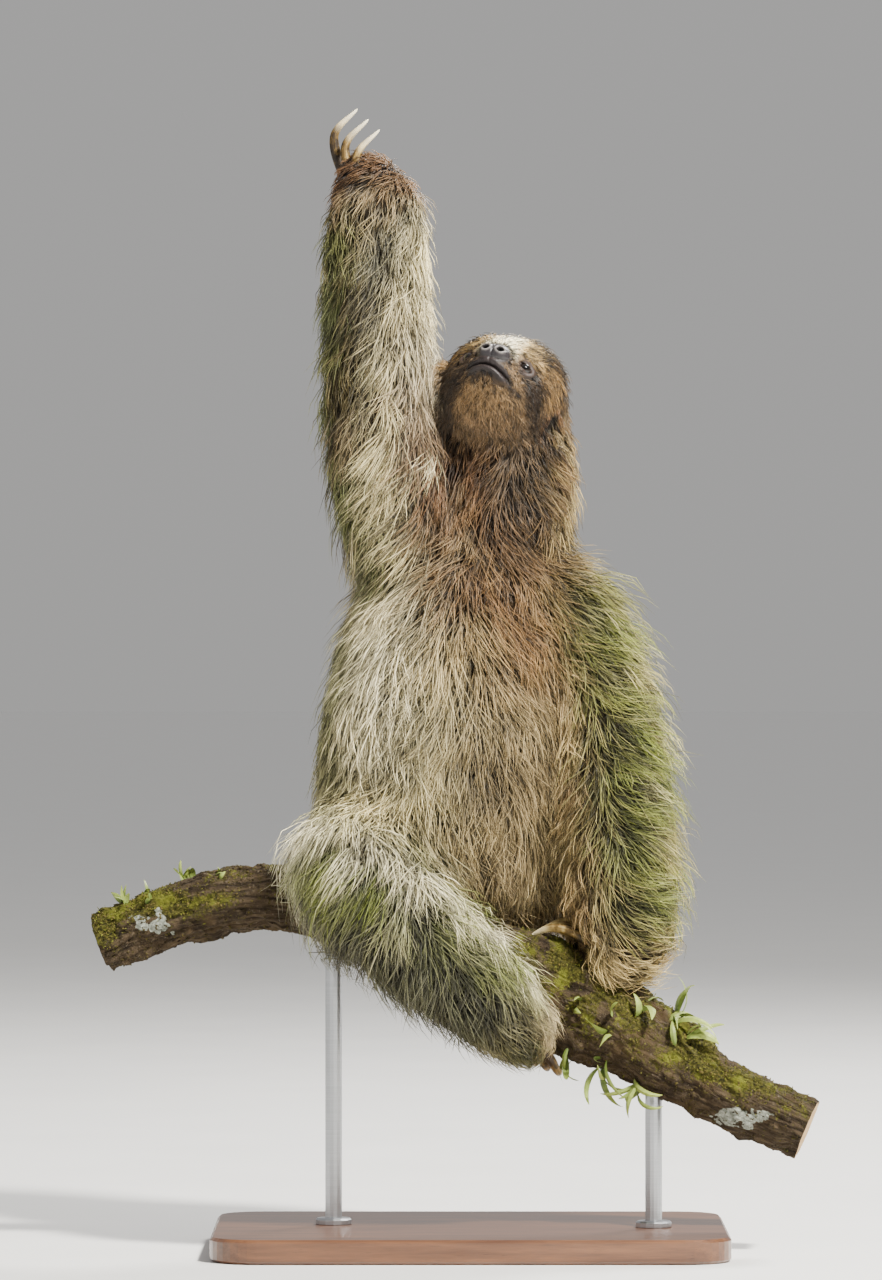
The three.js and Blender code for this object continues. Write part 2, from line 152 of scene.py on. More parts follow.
# How often each is averaged with its neighbours: the remeshed flesh and what that took off it, the
# normals that the skin sinks along, the limbs' shares, and the sunk skin; then the normals, shares and
# comb that the coat follows, and the crease between head and neck.
EASED = {
    "flesh": 14, "taken": 10, "normals": 4, "shares": 6, "sunk": 3,
    "coat_normals": 6, "coat_shares": 8, "comb": 6, "crease": 30,
}
EAR_CLEAR = {"shift": (0, 2.5, 2), "half": (12, 8, 8)}  # no hairs grow here, so the ear's hole stays open
ISLAND_ANGLE = 1.15  # radians between faces at which the skin's unwrap is cut


# ---------------------------------------------------------------- small tools for whole arrays
def unit(vectors):
    """Each vector divided by its length."""
    return vectors / np.maximum(np.linalg.norm(vectors, axis=-1, keepdims=True), 1e-9)


def rise(value, low, high):
    """0 below low, 1 above high, and a smooth step between them."""
    share = np.clip((value - low) / (high - low), 0, 1)
    return share * share * (3 - 2 * share)


def bell(value, centre, width):
    """1 at the centre, falling off as a bell curve of the given width."""
    return np.exp(-(((value - centre) / width) ** 2))


def ridges(value, table):
    """The sum of bells, each given by its height, its centre and its width."""
    return sum(high * bell(value, centre, width) for high, centre, width in table)


def dot(a, b):
    """The scalar products of two arrays of vectors."""
    return (a * b).sum(-1)


def stacked(*parts):
    """Coordinates worked out one by one, spread to one shape and put together as points."""
    return np.stack(np.broadcast_arrays(*parts), -1)


def turns(count):
    """Evenly spaced angles once round, without the last."""
    return np.arange(count) * 2 * math.pi / count


def clouds(points, size, seed=SEED):
    """Soft noise from 0 to 1: random numbers on a cubic lattice, with smooth steps between its cells."""
    table = np.random.default_rng(seed).random((LATTICE, LATTICE, LATTICE))
    at = points / size
    cell = np.floor(at).astype(int)
    part = rise(at - cell, 0, 1)
    total = np.zeros(points.shape[:-1])
    for corner in np.ndindex(2, 2, 2):
        share = np.where(corner, part, 1 - part).prod(-1)
        total += share * table[tuple(np.moveaxis((cell + corner) % LATTICE, -1, 0))]
    return total


def patches(points, size, seed, low, high):
    """Blotches: the soft noise made 0 below its low level and 1 above its high one."""
    return rise(clouds(points, size, seed), low, high)


def colour(red, green, blue):
    """A colour given as a screen shows it, turned into the linear numbers that shaders take."""
    return (np.array((red, green, blue)) / 255) ** SCREEN_GAMMA


def smooth_line(stations, count):
    """count rows along the centripetal Catmull-Rom curve through the stations, even in its parameter.

    Each span is the cubic whose end slopes come from the chords' square roots, and the last columns
    of the stations are carried along the plain curve through them in the same way.
    """
    rows = np.array(stations, float)

    def curve(values):
        """The cubic through four neighbouring values, in each span."""
        padded = np.vstack((2 * values[0] - values[1], values, 2 * values[-1] - values[-2]))
        chord = np.maximum(np.sqrt(np.linalg.norm(np.diff(padded, axis=0), axis=1)), 1e-4)
        at = np.linspace(0, len(values) - 1, count)
        span = np.minimum(at.astype(int), len(values) - 2)
        t = (at - span)[:, None]
        p = [padded[span + i] for i in range(4)]
        d = [chord[span + i][:, None] for i in range(3)]
        first = ((p[1] - p[0]) / d[0] - (p[2] - p[0]) / (d[0] + d[1]) + (p[2] - p[1]) / d[1]) * d[1]
        last = ((p[2] - p[1]) / d[1] - (p[3] - p[1]) / (d[1] + d[2]) + (p[3] - p[2]) / d[2]) * d[1]
        cubic = 2 * p[1] - 2 * p[2] + first + last
        square = -3 * p[1] + 3 * p[2] - 2 * first - last
        return ((cubic * t + square) * t + first) * t + p[1]

    return np.hstack((curve(rows[:, :3]), curve(rows[:, 3:])))


def tube_sides(line, across):
    """Two unit directions square to a line at each of its points; the first starts as `across`.

    Each first direction is the one before it less its part along the line, so it never twists.
    """
    tangents = unit(np.gradient(line, axis=0))
    sides, side = [], np.array(across, float)
    for tangent in tangents:
        side = unit(side - tangent * dot(side, tangent))
        sides.append(side)
    sides = np.array(sides)
    return sides, np.cross(tangents, sides)


def grid_faces(rows, columns, closed=True):
    """The four-cornered faces of a grid of points, whose columns may run round to the first again."""
    across = np.arange(columns if closed else columns - 1)
    row, column = np.meshgrid(np.arange(rows - 1), across, indexing="ij")
    after = (column + 1) % columns
    here, beside = row * columns + column, row * columns + after
    return np.stack((here, beside, beside + columns, here + columns), -1).reshape(-1, 4)


def mesh_from(name, points, faces):
    """A smooth-shaded mesh from arrays of points and of faces, which all have as many corners."""
    mesh = bpy.data.meshes.new(name)
    count, corners = faces.shape
    mesh.vertices.add(len(points))
    mesh.vertices.foreach_set("co", (np.asarray(points) * MM).astype(np.float32).ravel())
    mesh.loops.add(count * corners)
    mesh.loops.foreach_set("vertex_index", faces.astype(np.int32).ravel())
    mesh.polygons.add(count)
    mesh.polygons.foreach_set("loop_start", np.arange(0, count * corners, corners, dtype=np.int32))
    mesh.polygons.foreach_set("use_smooth", np.ones(count, bool))
    mesh.update(calc_edges=True)
    return mesh


def moved(mesh, points):
    """Puts a mesh's points in new places."""
    mesh.vertices.foreach_set("co", (points * MM).astype(np.float32).ravel())
    mesh.update()
    return mesh


def tidy(mesh):
    """Merges points that coincide, such as those of a pole, and turns all faces outwards."""
    made = bmesh.new()
    made.from_mesh(mesh)
    bmesh.ops.remove_doubles(made, verts=made.verts, dist=1e-6)
    bmesh.ops.recalc_face_normals(made, faces=made.faces)
    made.to_mesh(mesh)
    made.free()
    return mesh


def placed(name, data):
    """A new object of the scene at the origin that shows the data."""
    made = bpy.data.objects.new(name, data)
    bpy.context.scene.collection.objects.link(made)
    return made


def piece(name, mesh, material, slot, *nodes):
    """A finished piece of the object in the scene, with its finish, and the CAD nodes that it stands for."""
    mesh.materials.clear()
    mesh.materials.append(material)
    made = placed(name, mesh)
    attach(made, "root")
    if nodes:
        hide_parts(*nodes)
    return made


def with_modifier(mesh, kind, **settings):
    """A new mesh: the given one after one modifier."""
    holder = placed("holder", mesh)
    modifier = holder.modifiers.new(kind, kind)
    for key, value in settings.items():
        setattr(modifier, key, value)
    graph = bpy.context.evaluated_depsgraph_get()
    made = bpy.data.meshes.new_from_object(holder.evaluated_get(graph), depsgraph=graph)
    bpy.data.objects.remove(holder)
    return made


def numbers(collection, field, width, kind=np.float32):
    """One field of a mesh's points, loops or faces as an array."""
    made = np.empty(len(collection) * width, kind)
    collection.foreach_get(field, made)
    return made.reshape(-1, width) if width > 1 else made


def points_of(mesh):
    """A mesh's points, in millimetres."""
    return numbers(mesh.vertices, "co", 3).astype(float) / MM


def triangles_of(mesh):
    """The numbers of the points at the corners of a mesh's triangles."""
    mesh.calc_loop_triangles()
    return numbers(mesh.loop_triangles, "vertices", 3, np.int32)


def normals_of(points, triangles):
    """Unit normals at the points, from the triangles round each, the larger ones counting more."""
    a, b, c = (points[triangles[:, i]] for i in range(3))
    face = np.cross(b - a, c - a)
    total = np.zeros((len(points), 3))
    for corner in range(3):
        for axis in range(3):
            total[:, axis] += np.bincount(triangles[:, corner], face[:, axis], len(points))
    return unit(total)


def rings_of(triangles, count, most=12):
    """For each point, itself and its neighbours along the edges, `most` in all.

    Where a point has fewer neighbours, the rest is the point itself again.
    """
    edges = np.vstack((triangles[:, :2], triangles[:, 1:], triangles[:, ::2]))
    edges = np.unique(np.vstack((edges, edges[:, ::-1])), axis=0)
    start = np.searchsorted(edges[:, 0], np.arange(count))
    rank = np.arange(len(edges)) - start[edges[:, 0]] + 1
    kept = rank < most
    rings = np.repeat(np.arange(count)[:, None], most, axis=1)
    rings[edges[kept, 0], rank[kept]] = edges[kept, 1]
    return rings


def eased(values, rings, times):
    """Values at the points, each replaced several times by the mean of itself and its neighbours."""
    for _ in range(times):
        values = values[rings].mean(1)
    return values


# ---------------------------------------------------------------- the head's own frame: left, up, forward
def head_axes():
    """The head's left, up and forward directions, from its pitch, yaw and roll."""
    sin, cos = np.sin, np.cos
    forward = np.array((
        -sin(HEAD_YAW) * cos(HEAD_PITCH), -cos(HEAD_YAW) * cos(HEAD_PITCH), sin(HEAD_PITCH)
    ))
    level = np.array((cos(HEAD_YAW), -sin(HEAD_YAW), 0))
    left = level * cos(HEAD_ROLL) - np.cross(forward, level) * sin(HEAD_ROLL)
    return np.array((left, np.cross(forward, left), forward))


HEAD_AXES = head_axes()
MUZZLE_WAY = unit(np.array((0, -MUZZLE["drop"], 1)))


def from_head(places):
    """Places in the head's own frame, put where they are on the model."""
    return HEAD_CENTRE + places @ HEAD_AXES


def in_head(points):
    """Points of the model, given in the head's own frame."""
    return (points - HEAD_CENTRE) @ HEAD_AXES.T


def angle_between(ways, way):
    """The angles between unit directions: the arc cosines of their scalar products."""
    return np.arccos(np.clip(dot(ways, way), -1, 1))


def mirrored(ways, place):
    """A place of the head's left side, put on the same side as each direction."""
    return np.where(ways[..., :1] < 0, -1, 1) * np.array((place[0], 0, 0)) + np.array((0, place[1], place[2]))


def head_reach(ways):
    """The coat's surface on the head, as its reach from the centre in each direction.

    It is a superellipsoid with a bell-shaped muzzle pushed forward and a shallow socket at each eye.
    """
    skull = (np.abs(ways / HEAD_HALF) ** HEAD_FULLNESS).sum(-1) ** (-1 / HEAD_FULLNESS)
    muzzle = MUZZLE["length"] * bell(angle_between(ways, MUZZLE_WAY), 0, MUZZLE["spread"])
    socket = SOCKET["depth"] * bell(angle_between(ways, unit(mirrored(ways, EYE_WAY))), 0, SOCKET["spread"])
    return skull + muzzle - socket


def mouth_line(count=61):
    """The line where the lips meet, from corner to corner, on the head's surface."""
    share = np.linspace(-1, 1, count)
    up = MOUTH["up"] - MOUTH["droop"] * share**2 - MOUTH["tilt"] * share
    ahead = MOUTH["forward"] - MOUTH["sweep"] * share**2
    ways = unit(np.stack((MOUTH["half"] * share, up, ahead), -1))
    return ways * head_reach(ways)[:, None]


def from_mouth(places):
    """Each place's distance above (+) or below (-) the mouth's line, and how far along the line it is.

    The second runs from 0 in the line's middle to 1 at its corners.
    """
    line = mouth_line()
    away = np.linalg.norm(places[:, None] - line, axis=2)
    nearest = away.argmin(1)
    above = np.sign(places[:, 1] - line[nearest, 1])
    return away.min(1) * above, np.abs(nearest / (len(line) - 1) * 2 - 1)


def eye_frame(ways):
    """The middle of the eyeball that looks the given way, and the eye's own across and upright."""
    across = unit(np.cross(ways, (0, 1, 0)))
    return ways * (head_reach(unit(EYE_WAY)) - EYE["sunk"]), across, np.cross(across, ways)


def from_eye(places):
    """Each place's offset from the nearer eye's middle: sideways from the nose, upright, and out."""
    ways = mirrored(places, unit(EYE_WAY))
    centre, across, upright = eye_frame(ways)
    off = places - centre
    outward = dot(off, across) * -np.sign(places[:, 0])
    return outward, dot(off, upright), dot(off, ways)


def bare_share(places):
    """1 where the face is bare leather, 0 where it is furred.

    The lips, the muzzle round the nose and the eyelids are bare, each by a smooth step or a bell.
    """
    above, along = from_mouth(places)
    lips = bell(above, -.8, 7.6) * (1 - rise(along, .55, 1))
    corner = bell(above, 0, 2.6)
    muzzle = 1 - rise(np.linalg.norm((places - NOSE["at"]) / (15, 13, 20), axis=1), .75, 1.15)
    out, up, _ = from_eye(places)
    lids = 1 - rise(np.hypot(out / 1.3, up), 6, 9.6)
    return np.clip(np.maximum.reduce((lips, corner, muzzle, lids)), 0, 1) * (places[:, 2] > 0)


def face_coat(places):
    """Depth of the coat on the head: nearly none on leather, growing with the angle from the muzzle."""
    behind = angle_between(unit(places), MUZZLE_WAY)
    return .3 + (1 - bare_share(places)) * (1.2 + 4.5 * rise(behind, .35, 1.5))


def head_skin(around=236, along=176):
    """The skin of the head: rings about the muzzle's axis, closer together in front.

    Each point lies in its direction at the reach of the coat less the coat's depth there, and then
    come the groove between the lips and a soft roll above and below it, a furrow under the nose, the
    lids, which lie a millimetre over the ball of the eye round its opening, with a fold in them and a
    brow above, and the cup of each ear.
    """
    turn = turns(around)
    polar = math.pi * np.linspace(0, 1, along) ** 1.35
    left = np.array((1.0, 0, 0))
    below = np.cross(left, MUZZLE_WAY)
    sideways = np.sin(polar)[:, None, None] * (
        np.cos(turn)[:, None] * left + np.sin(turn)[:, None] * below
    )
    ways = unit(sideways + np.cos(polar)[:, None, None] * MUZZLE_WAY).reshape(-1, 3)
    reach = head_reach(ways)
    places = ways * reach[:, None]
    reach = reach - face_coat(places) - FACE_OVER * rise(polar.repeat(around), 1.5, 2.1)

    above, corner = from_mouth(places)
    ahead = places[:, 2] > 0
    reach += ahead * (1 - rise(corner, .7, 1)) * ridges(above, LIPS)
    reach -= ahead * (1 - .7 * rise(corner, .9, 1)) * LIP_GROOVE * bell(above, 0, .9)
    furrow = bell(places[:, 0], 0, 1.1) * bell(above, 6, 4) * (places[:, 1] < -8) * ahead
    reach -= NOSE_FURROW * furrow

    out, up, depth = from_eye(places)
    seen = depth > 0
    opening = np.hypot(out / EYE["wide"], (up + .12 * out) / EYE["tall"])
    ball = np.sqrt(np.clip(EYE["radius"] ** 2 - out**2 - up**2, 0, None)) - EYE["sunk"]
    lid = rise(opening, .97, 1.07) * (1 - rise(opening, 1.3, 2.4))
    reach += seen * (lid * (np.maximum(ball, 0) + LID_OVER) - EYE_HOLE * (1 - rise(opening, .85, 1)))
    reach -= seen * ridges(opening, LID_FOLDS) * rise(np.abs(up), 1.2, 3.5)
    reach += seen * BROW * bell(up, 9, 3) * bell(out, 1, 8)

    cup = np.linalg.norm((places - mirrored(places, EAR["at"]))[:, 1:] / EAR["half"], axis=1)
    beside = np.abs(places[:, 0]) > 30
    reach += beside * (EAR_RIM * bell(cup, .95, .25) - EAR_HOLLOW * (1 - rise(cup, .3, .85)))
    pad = np.linalg.norm((places - NOSE["at"]) / NOSE["half"], axis=1)
    reach -= NOSE_SEAT * (1 - rise(pad, .75, 1.05))
    points = from_head(ways * reach[:, None])
    return tidy(mesh_from("head_skin", points, grid_faces(along, around)))


# ---------------------------------------------------------------- the limbs' own coordinates
def on_limb(points, name):
    """Where points lie by a limb, measured from the nearest place on the line through its stations.

    Gives the station along the limb, the distance in radii, the offset from its line, and the row of
    its table there.
    """
    line = np.array(LIMBS[name], float)
    start, step = line[:-1, :3], np.diff(line[:, :3], axis=0)
    share = np.clip(dot(points[:, None] - start, step) / dot(step, step), 0, 1)
    off = points[:, None] - start - share[..., None] * step
    nearest = np.linalg.norm(off, axis=2).argmin(1)
    each = np.arange(len(points))
    share, off = share[each, nearest][:, None], off[each, nearest]
    row = line[nearest] * (1 - share) + line[nearest + 1] * share
    return nearest + share[:, 0], np.linalg.norm(off, axis=1) / row[:, 3], off, row


def limb_shares(points, places):
    """Each limb's share of each point, 1 in all, falling off exponentially with the distance in radii."""
    nearness = np.stack([np.exp(-SHARES_FALL * places[name][1]) for name in LIMBS], 1)
    return nearness / nearness.sum(1, keepdims=True)


def share_of(shares, name):
    """One limb's column of the shares."""
    return shares[:, [list(LIMBS).index(name)]]


def between(table, at):
    """The rows of a table of (station, values...) interpolated at the given stations."""
    stations = [row[0] for row in table]
    values = np.array([np.ravel(row[1:]) for row in table])
    return np.stack([np.interp(at, stations, values[:, i]) for i in range(values.shape[1])], 1)


# ---------------------------------------------------------------- the skin
def body_skin():
    """The flesh as one skin, lying under the coat.

    The solids are swollen so that their gaps close, remeshed, eased, and sunk by the coat's depth, and
    a little more behind the face, where the finer skin of the head lies over them.
    """
    joined = bmesh.new()
    for name in FLESH:
        if not name.startswith("ear"):
            joined.from_mesh(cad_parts[name].data)
    bmesh.ops.remove_doubles(joined, verts=joined.verts, dist=1e-6)
    joined.normal_update()
    for vert in joined.verts:
        vert.co += vert.normal * SWELL * MM
    rough = bpy.data.meshes.new("rough")
    joined.to_mesh(rough)
    joined.free()
    mesh = with_modifier(rough, "REMESH", mode="VOXEL", voxel_size=VOXEL * MM)
    points, triangles = points_of(mesh), triangles_of(mesh)
    rings = rings_of(triangles, len(points))
    smooth = eased(points, rings, EASED["flesh"])
    normals = unit(eased(normals_of(smooth, triangles), rings, EASED["normals"]))
    points = smooth + normals * eased(dot(points - smooth, normals), rings, EASED["taken"])[:, None]
    places = {name: on_limb(points, name) for name in LIMBS}
    shares = eased(limb_shares(points, places), rings, EASED["shares"])
    depth = sum(shares[:, [i]] * places[name][3][:, 4:5] for i, name in enumerate(LIMBS))
    q = in_head(points)
    on_head = share_of(shares, "head")
    behind = angle_between(unit(q), MUZZLE_WAY)[:, None]
    depth += on_head * (face_coat(q)[:, None] - depth + FACE_OVER * (1 - rise(behind, 1.3, 1.9)))
    normals = unit(eased(normals_of(points, triangles), rings, EASED["normals"]))
    return moved(mesh, eased(points - normals * depth, rings, EASED["sunk"]))


def whole_skin():
    """The body's and the head's skin made one by union."""
    body, head = body_skin(), head_skin()
    head_holder = placed("head_holder", head)
    mesh = with_modifier(body, "BOOLEAN", operation="UNION", solver="MANIFOLD", object=head_holder)
    bpy.data.objects.remove(head_holder)
    mesh.polygons.foreach_set("use_smooth", np.ones(len(mesh.polygons), bool))
    points = points_of(mesh)
    q = in_head(points)
    near = bell(angle_between(unit(q), MUZZLE_WAY), 1.6, .45) * (1 - rise(np.linalg.norm(q, axis=1), 60, 80))
    rings = rings_of(triangles_of(mesh), len(points))
    for _ in range(EASED["crease"]):
        points += near[:, None] * (points[rings].mean(1) - points)
    return moved(mesh, points)


# ---------------------------------------------------------------- the markings
CREAM = colour(222, 208, 158)
WHITE = colour(238, 228, 192)
STRAW = colour(186, 164, 112)
TAN = colour(174, 154, 112)
GREY = colour(112, 108, 88)
UMBER = colour(88, 70, 48)
DARK = colour(38, 28, 20)
RUST = colour(114, 77, 47)
GOLD = colour(158, 124, 76)
THROAT = colour(124, 101, 73)
ALGAE = colour(122, 131, 54)
MOSSY = colour(92, 98, 54)
LEATHER = colour(30, 26, 27)
LID = colour(58, 43, 34)


def tinted(base, tint, share):
    """The base colours with a tint laid over them, as strongly as the share says."""
    return base + (tint - base) * np.clip(share, 0, 1)[:, None]


def mark_trunk(points, normals, place, off):
    """Grey-brown back with cream blotches and a dark line down it, cream flanks, tan belly with painted shade
    low down, rusty chest.
    """
    side = off[:, 0] / 95
    blotches = clouds(points, 42, 1)
    base = tinted(np.tile(STRAW, (len(points), 1)), TAN, rise(side, -.2, .4))
    base = tinted(base, UMBER, .45 * patches(points * (1, 1, .5), 20, 3, .35, .7))
    base = tinted(base, CREAM, .95 * rise(-side, -.3, .3))
    base = tinted(base, GREY, .5 * rise(blotches, .4, .7) * rise(-side, -.6, .3))
    base = tinted(base, WHITE, .7 * bell(side, -.62, .3) * rise(points[:, 2], 380, 480))
    base = tinted(base, MOSSY * .8, .9 * rise(-side, .6, .92) * patches(points, 30, 2, .2, .5))
    base = tinted(base, UMBER * .6, .6 * rise(-side, .8, 1.05))
    # painted shade: the belly darkened towards its bottom
    base = tinted(base, UMBER, .4 * (1 - rise(points[:, 2], 270, 350)) * rise(side, -.6, .2))
    chest = rise(points[:, 2], 450, 540)
    base = tinted(base, GOLD, .7 * chest * rise(side, -.5, 0))
    base = tinted(base, RUST, .7 * chest * rise(side, -.6, 0) * patches(points, 24, 3, .3, .6))
    base = tinted(base, RUST * .8, .8 * rise(points[:, 2], 520, 580) * bell(side, -.45, .35))
    back = rise(normals[:, 1], -.1, .5)
    base = tinted(base, tinted(np.tile(UMBER, (len(points), 1)), GREY, blotches), back * .9)
    base = tinted(base, CREAM, .8 * back * patches(points, 55, 4, .56, .7))
    return tinted(base, DARK, .75 * rise(normals[:, 1], .5, .9) * bell(off[:, 0], 0, 9))


def mark_neck(points, normals, place, off):
    """Brown throat, rusty camera-left side with blotches of painted shade, straw-coloured camera-right side
    edged with olive.
    """
    side = off[:, 0] / 60
    base = tinted(np.tile(THROAT * .56, (len(points), 1)), UMBER * .45, .8 * patches(points, 20, 5, .35, .65))
    base = tinted(base, GOLD, .5 * rise(side, .0, .5) * patches(points, 18, 33, .3, .6))
    base = tinted(base, STRAW, .7 * rise(side, .15, .7) * patches(points, 12, 38, .4, .6))
    base = tinted(base, UMBER, .6 * rise(side, .0, .5) * patches(points * (1, 1, .4), 8, 45, .5, .65))
    base = tinted(base, RUST * .8, .9 * rise(-side, .0, .5))
    # painted shade: dark blotches on the camera-left side, between the raised arm and the head
    base = tinted(base, DARK, .5 * rise(-side, .2, .6) * patches(points, 14, 39, .4, .6))
    base = tinted(base, ALGAE * .6 + STRAW * .4, .6 * rise(side, .7, .95))
    return tinted(base, UMBER, .7 * rise(normals[:, 1], .1, .7))


def mark_arm_right(points, normals, place, off):
    """Green-grey outer side, cream down the inner side, rusty by the armpit, and a brown hand."""
    side = off[:, 0] / 48
    base = tinted(np.tile(GREY, (len(points), 1)), TAN, .9 * patches(points, 24, 6, .3, .7))
    base = tinted(base, CREAM, rise(side - .3 * (place - 3), -.35, .45))
    base = tinted(base, WHITE, .9 * bell(place, 2.6, .9) * rise(side, .1, .5))
    base = tinted(base, MOSSY * .8, .9 * rise(-side, -.1, .55) * patches(points, 30, 7, .2, .5))
    base = tinted(base, UMBER * .8, .7 * rise(-side, -.3, .4) * patches(points * (1, 1, .5), 18, 8, .45, .65))
    rusty = bell(place, 1.6, 1.4) * rise(side, -.05, .45)
    base = tinted(base, RUST * .85, .95 * rusty * patches(points, 16, 37, .15, .45))
    base = tinted(base, UMBER, .75 * rise(normals[:, 1], .1, .7))
    hand = rise(place + .9 * side, 5.3, 6.7)
    return tinted(base, RUST * .7, .85 * hand)


def mark_arm_left(points, normals, place, off):
    """Algae-green outer side with painted highlights, olive middle, rusty tan inner side, painted shade by
    the shoulder, red-brown hand.
    """
    side = off[:, 0] / 46
    base = tinted(np.tile(STRAW, (len(points), 1)), UMBER, .5 * patches(points, 26, 9, .3, .65))
    base = tinted(base, RUST, .45 * bell(side, -.7, .4) * patches(points, 22, 43, .35, .6))
    base = tinted(base, MOSSY, .85 * rise(side, -.65, .0) * patches(points, 20, 40, .15, .45))
    base = tinted(base, ALGAE * .92, rise(side, -.5, .2) * (.7 + .3 * patches(points, 26, 10, .3, .6)))
    base = tinted(base, CREAM * .9, .5 * rise(side, -.3, .5) * patches(points, 9, 11, .5, .72))
    streaks = patches(points * (1, 1, .5), 12, 46, .42, .66)
    # partly painted highlight: pale straw streaks on the side facing camera-right, partly the hair's own
    # paler colour
    base = tinted(base, STRAW * .8 + MOSSY * .2, .6 * rise(normals[:, 0], .35, .9) * streaks)
    base = tinted(base, UMBER, .35 * patches(points, 16, 34, .5, .75) * (1 - rise(side, 0, .5)))
    base = tinted(base, UMBER, .55 * rise(normals[:, 1], .2, .8))
    # painted shade: darker at the top of the arm, by the shoulder
    base = tinted(base, UMBER * .8, .7 * bell(place, .4, .8))
    hand = rise(place - .5 * side, 4.9, 6.3)
    return tinted(tinted(base, RUST, .6 * hand), STRAW, .6 * hand * patches(points, 14, 12, .35, .65))


def mark_leg_right(points, normals, place, off):
    """Cream-white top with painted light, algae-green band below it, dark grey knee, painted-shade underside,
    olive foot.
    """
    low = -normals[:, 2]
    # partly painted light: whiter where the leg faces up
    base = tinted(np.tile(CREAM * .7 + GREY * .3, (len(points), 1)), WHITE, .9 * rise(-low, -.1, .5))
    # partly painted shade: grey, with darker grey blotches, on the lower side
    base = tinted(base, GREY, .9 * rise(low + .6 * (clouds(points, 16, 41) - .5), -.55, .0))
    base = tinted(base, GREY * .6, .9 * patches(points, 15, 35, .4, .6) * rise(low, -.7, -.1))
    # painted shade: the underside darkened nearly to black
    base = tinted(base, (GREY + MOSSY) * .28, .85 * rise(low, -.1, .45))
    band = bell(low + .4 * (clouds(points, 18, 44) - .5), -.36, .34) * rise(place, .5, 1.4)
    band *= 1 - rise(place, 4.8, 5.8)
    base = tinted(base, ALGAE * .68, 1.15 * band * (.55 + .45 * patches(points, 24, 13, .25, .5)))
    base = tinted(base, WHITE * .75, .6 * bell(place, .8, .8) * rise(-off[:, 0] / 60, .2, .8))
    base = tinted(base, UMBER, .6 * rise(normals[:, 1], .2, .8) * patches(points, 30, 14, .3, .6))
    foot = rise(place, 4.6, 5.8)
    base = tinted(base, TAN, .7 * foot)
    # partly painted shade: the foot olive and darker where it faces down
    return tinted(base, MOSSY * .7, .8 * foot * rise(low - .4 * normals[:, 0], -.4, .4))


def mark_plain(points, normals, place, off):
    """Grey-brown with cream blotches, as the parts that are mostly hidden have it."""
    base = tinted(np.tile(UMBER, (len(points), 1)), TAN, .5 + .5 * clouds(points, 30, 15))
    return tinted(base, CREAM, .6 * patches(points, 36, 16, .5, .75))


def from_ear(q):
    """Each place's distance from the nearer ear's clearing, 1 at its edge."""
    return np.linalg.norm((q - mirrored(q, EAR["at"]) - EAR_CLEAR["shift"]) / EAR_CLEAR["half"], axis=1)


# The dark stripe's places in the head's own left, up and forward, and half its width on each stretch.
STRIPE = ((27, -10, 44), (38, -27, 29), (42, -37, 4))
STRIPE_WIDE = (5, 7)


def from_stripe(q):
    """Each place's distance from the edge of the dark stripe, which runs from the eye along the cheek.

    It is the least distance from the stripe's stretches less their half widths, the same on both sides.
    """
    mirror = np.abs(q) * (1, 0, 0) + q * (0, 1, 1)
    away = np.full(len(q), 99.0)
    for start, end, wide in zip(STRIPE, STRIPE[1:], STRIPE_WIDE):
        start, step = np.array(start, float), np.subtract(end, start)
        share = np.clip(dot(mirror - start, step) / dot(step, step), 0, 1)
        away = np.minimum(away, np.linalg.norm(mirror - start - share[:, None] * step, axis=1) - wide)
    return away


def mark_head(points, normals, place, off):
    """Cream blaze, golden sides, a dark stripe from each eye, brown throat, a dark crown, painted shade under
    the lip and in the ears.
    """
    q = in_head(points)
    across, up, ahead = np.abs(q[:, 0]), q[:, 1], q[:, 2]
    base = tinted(np.tile(THROAT, (len(q), 1)), UMBER, .7 * patches(points, 10, 17, .35, .7))
    base = tinted(base, GOLD, .3 * bell(up, -34, 9) * bell(across, 6, 22) * rise(ahead, 10, 30))
    # painted shade: a dark line just under the lower lip
    base = tinted(base, UMBER * .7, .5 * bell(up, -28, 4) * rise(ahead, 40, 52))
    base = tinted(base, GOLD, rise(up + .55 * across, 2, 20))
    base = tinted(base, STRAW, .5 * rise(up + .3 * across, 4, 14) * (1 - rise(across, 22, 36)))
    base = tinted(base, UMBER, .8 * rise(across, 24, 40) * patches(points, 9, 18, .35, .6))
    blaze = rise(up + .1 * across, -9, 1) * rise(ahead, 14, 30) * (1 - rise(across + .25 * up, 9, 18))
    base = tinted(base, WHITE, .95 * blaze)
    crown = rise(up + .45 * across + 18 * (clouds(points, 8, 19) - .5), 23, 29)
    base = tinted(base, DARK, .9 * crown)
    base = tinted(base, UMBER * .8, .85 * rise(-ahead, -12, 14))
    away = from_stripe(q) + 6 * (clouds(points, 7, 20) - .5) - 9 * (q[:, 0] < 0) * rise(ahead, 4, 24)
    faded = rise(ahead, -10, 14) + (q[:, 0] > 0)
    base = tinted(base, DARK * 1.1, .92 * (1 - rise(away, -3, 6)) * np.minimum(faded, 1))
    ear = from_ear(q)
    # the rusty ring round the ear is its colour; the near-black middle of the hollow is painted shade
    base = tinted(tinted(base, RUST * .7, 1 - rise(ear, 1.4, 2.2)), DARK * .25, 1 - rise(ear, 1.0, 1.5))
    out, up_eye, _ = from_eye(q)
    by_eye = 1 - rise(np.hypot(out, up_eye), 8, 13)
    base = tinted(base, UMBER * .8, .8 * by_eye)
    leather = tinted(np.tile(LEATHER, (len(q), 1)), LID, by_eye)
    return base + (leather - base) * rise(bare_share(q), .35, .75)[:, None]


MARKS = {
    "trunk": mark_trunk, "neck": mark_neck, "head": mark_head, "tail": mark_plain,
    "arm_right": mark_arm_right, "arm_left": mark_arm_left,
    "leg_right": mark_leg_right, "leg_left": mark_plain,
}


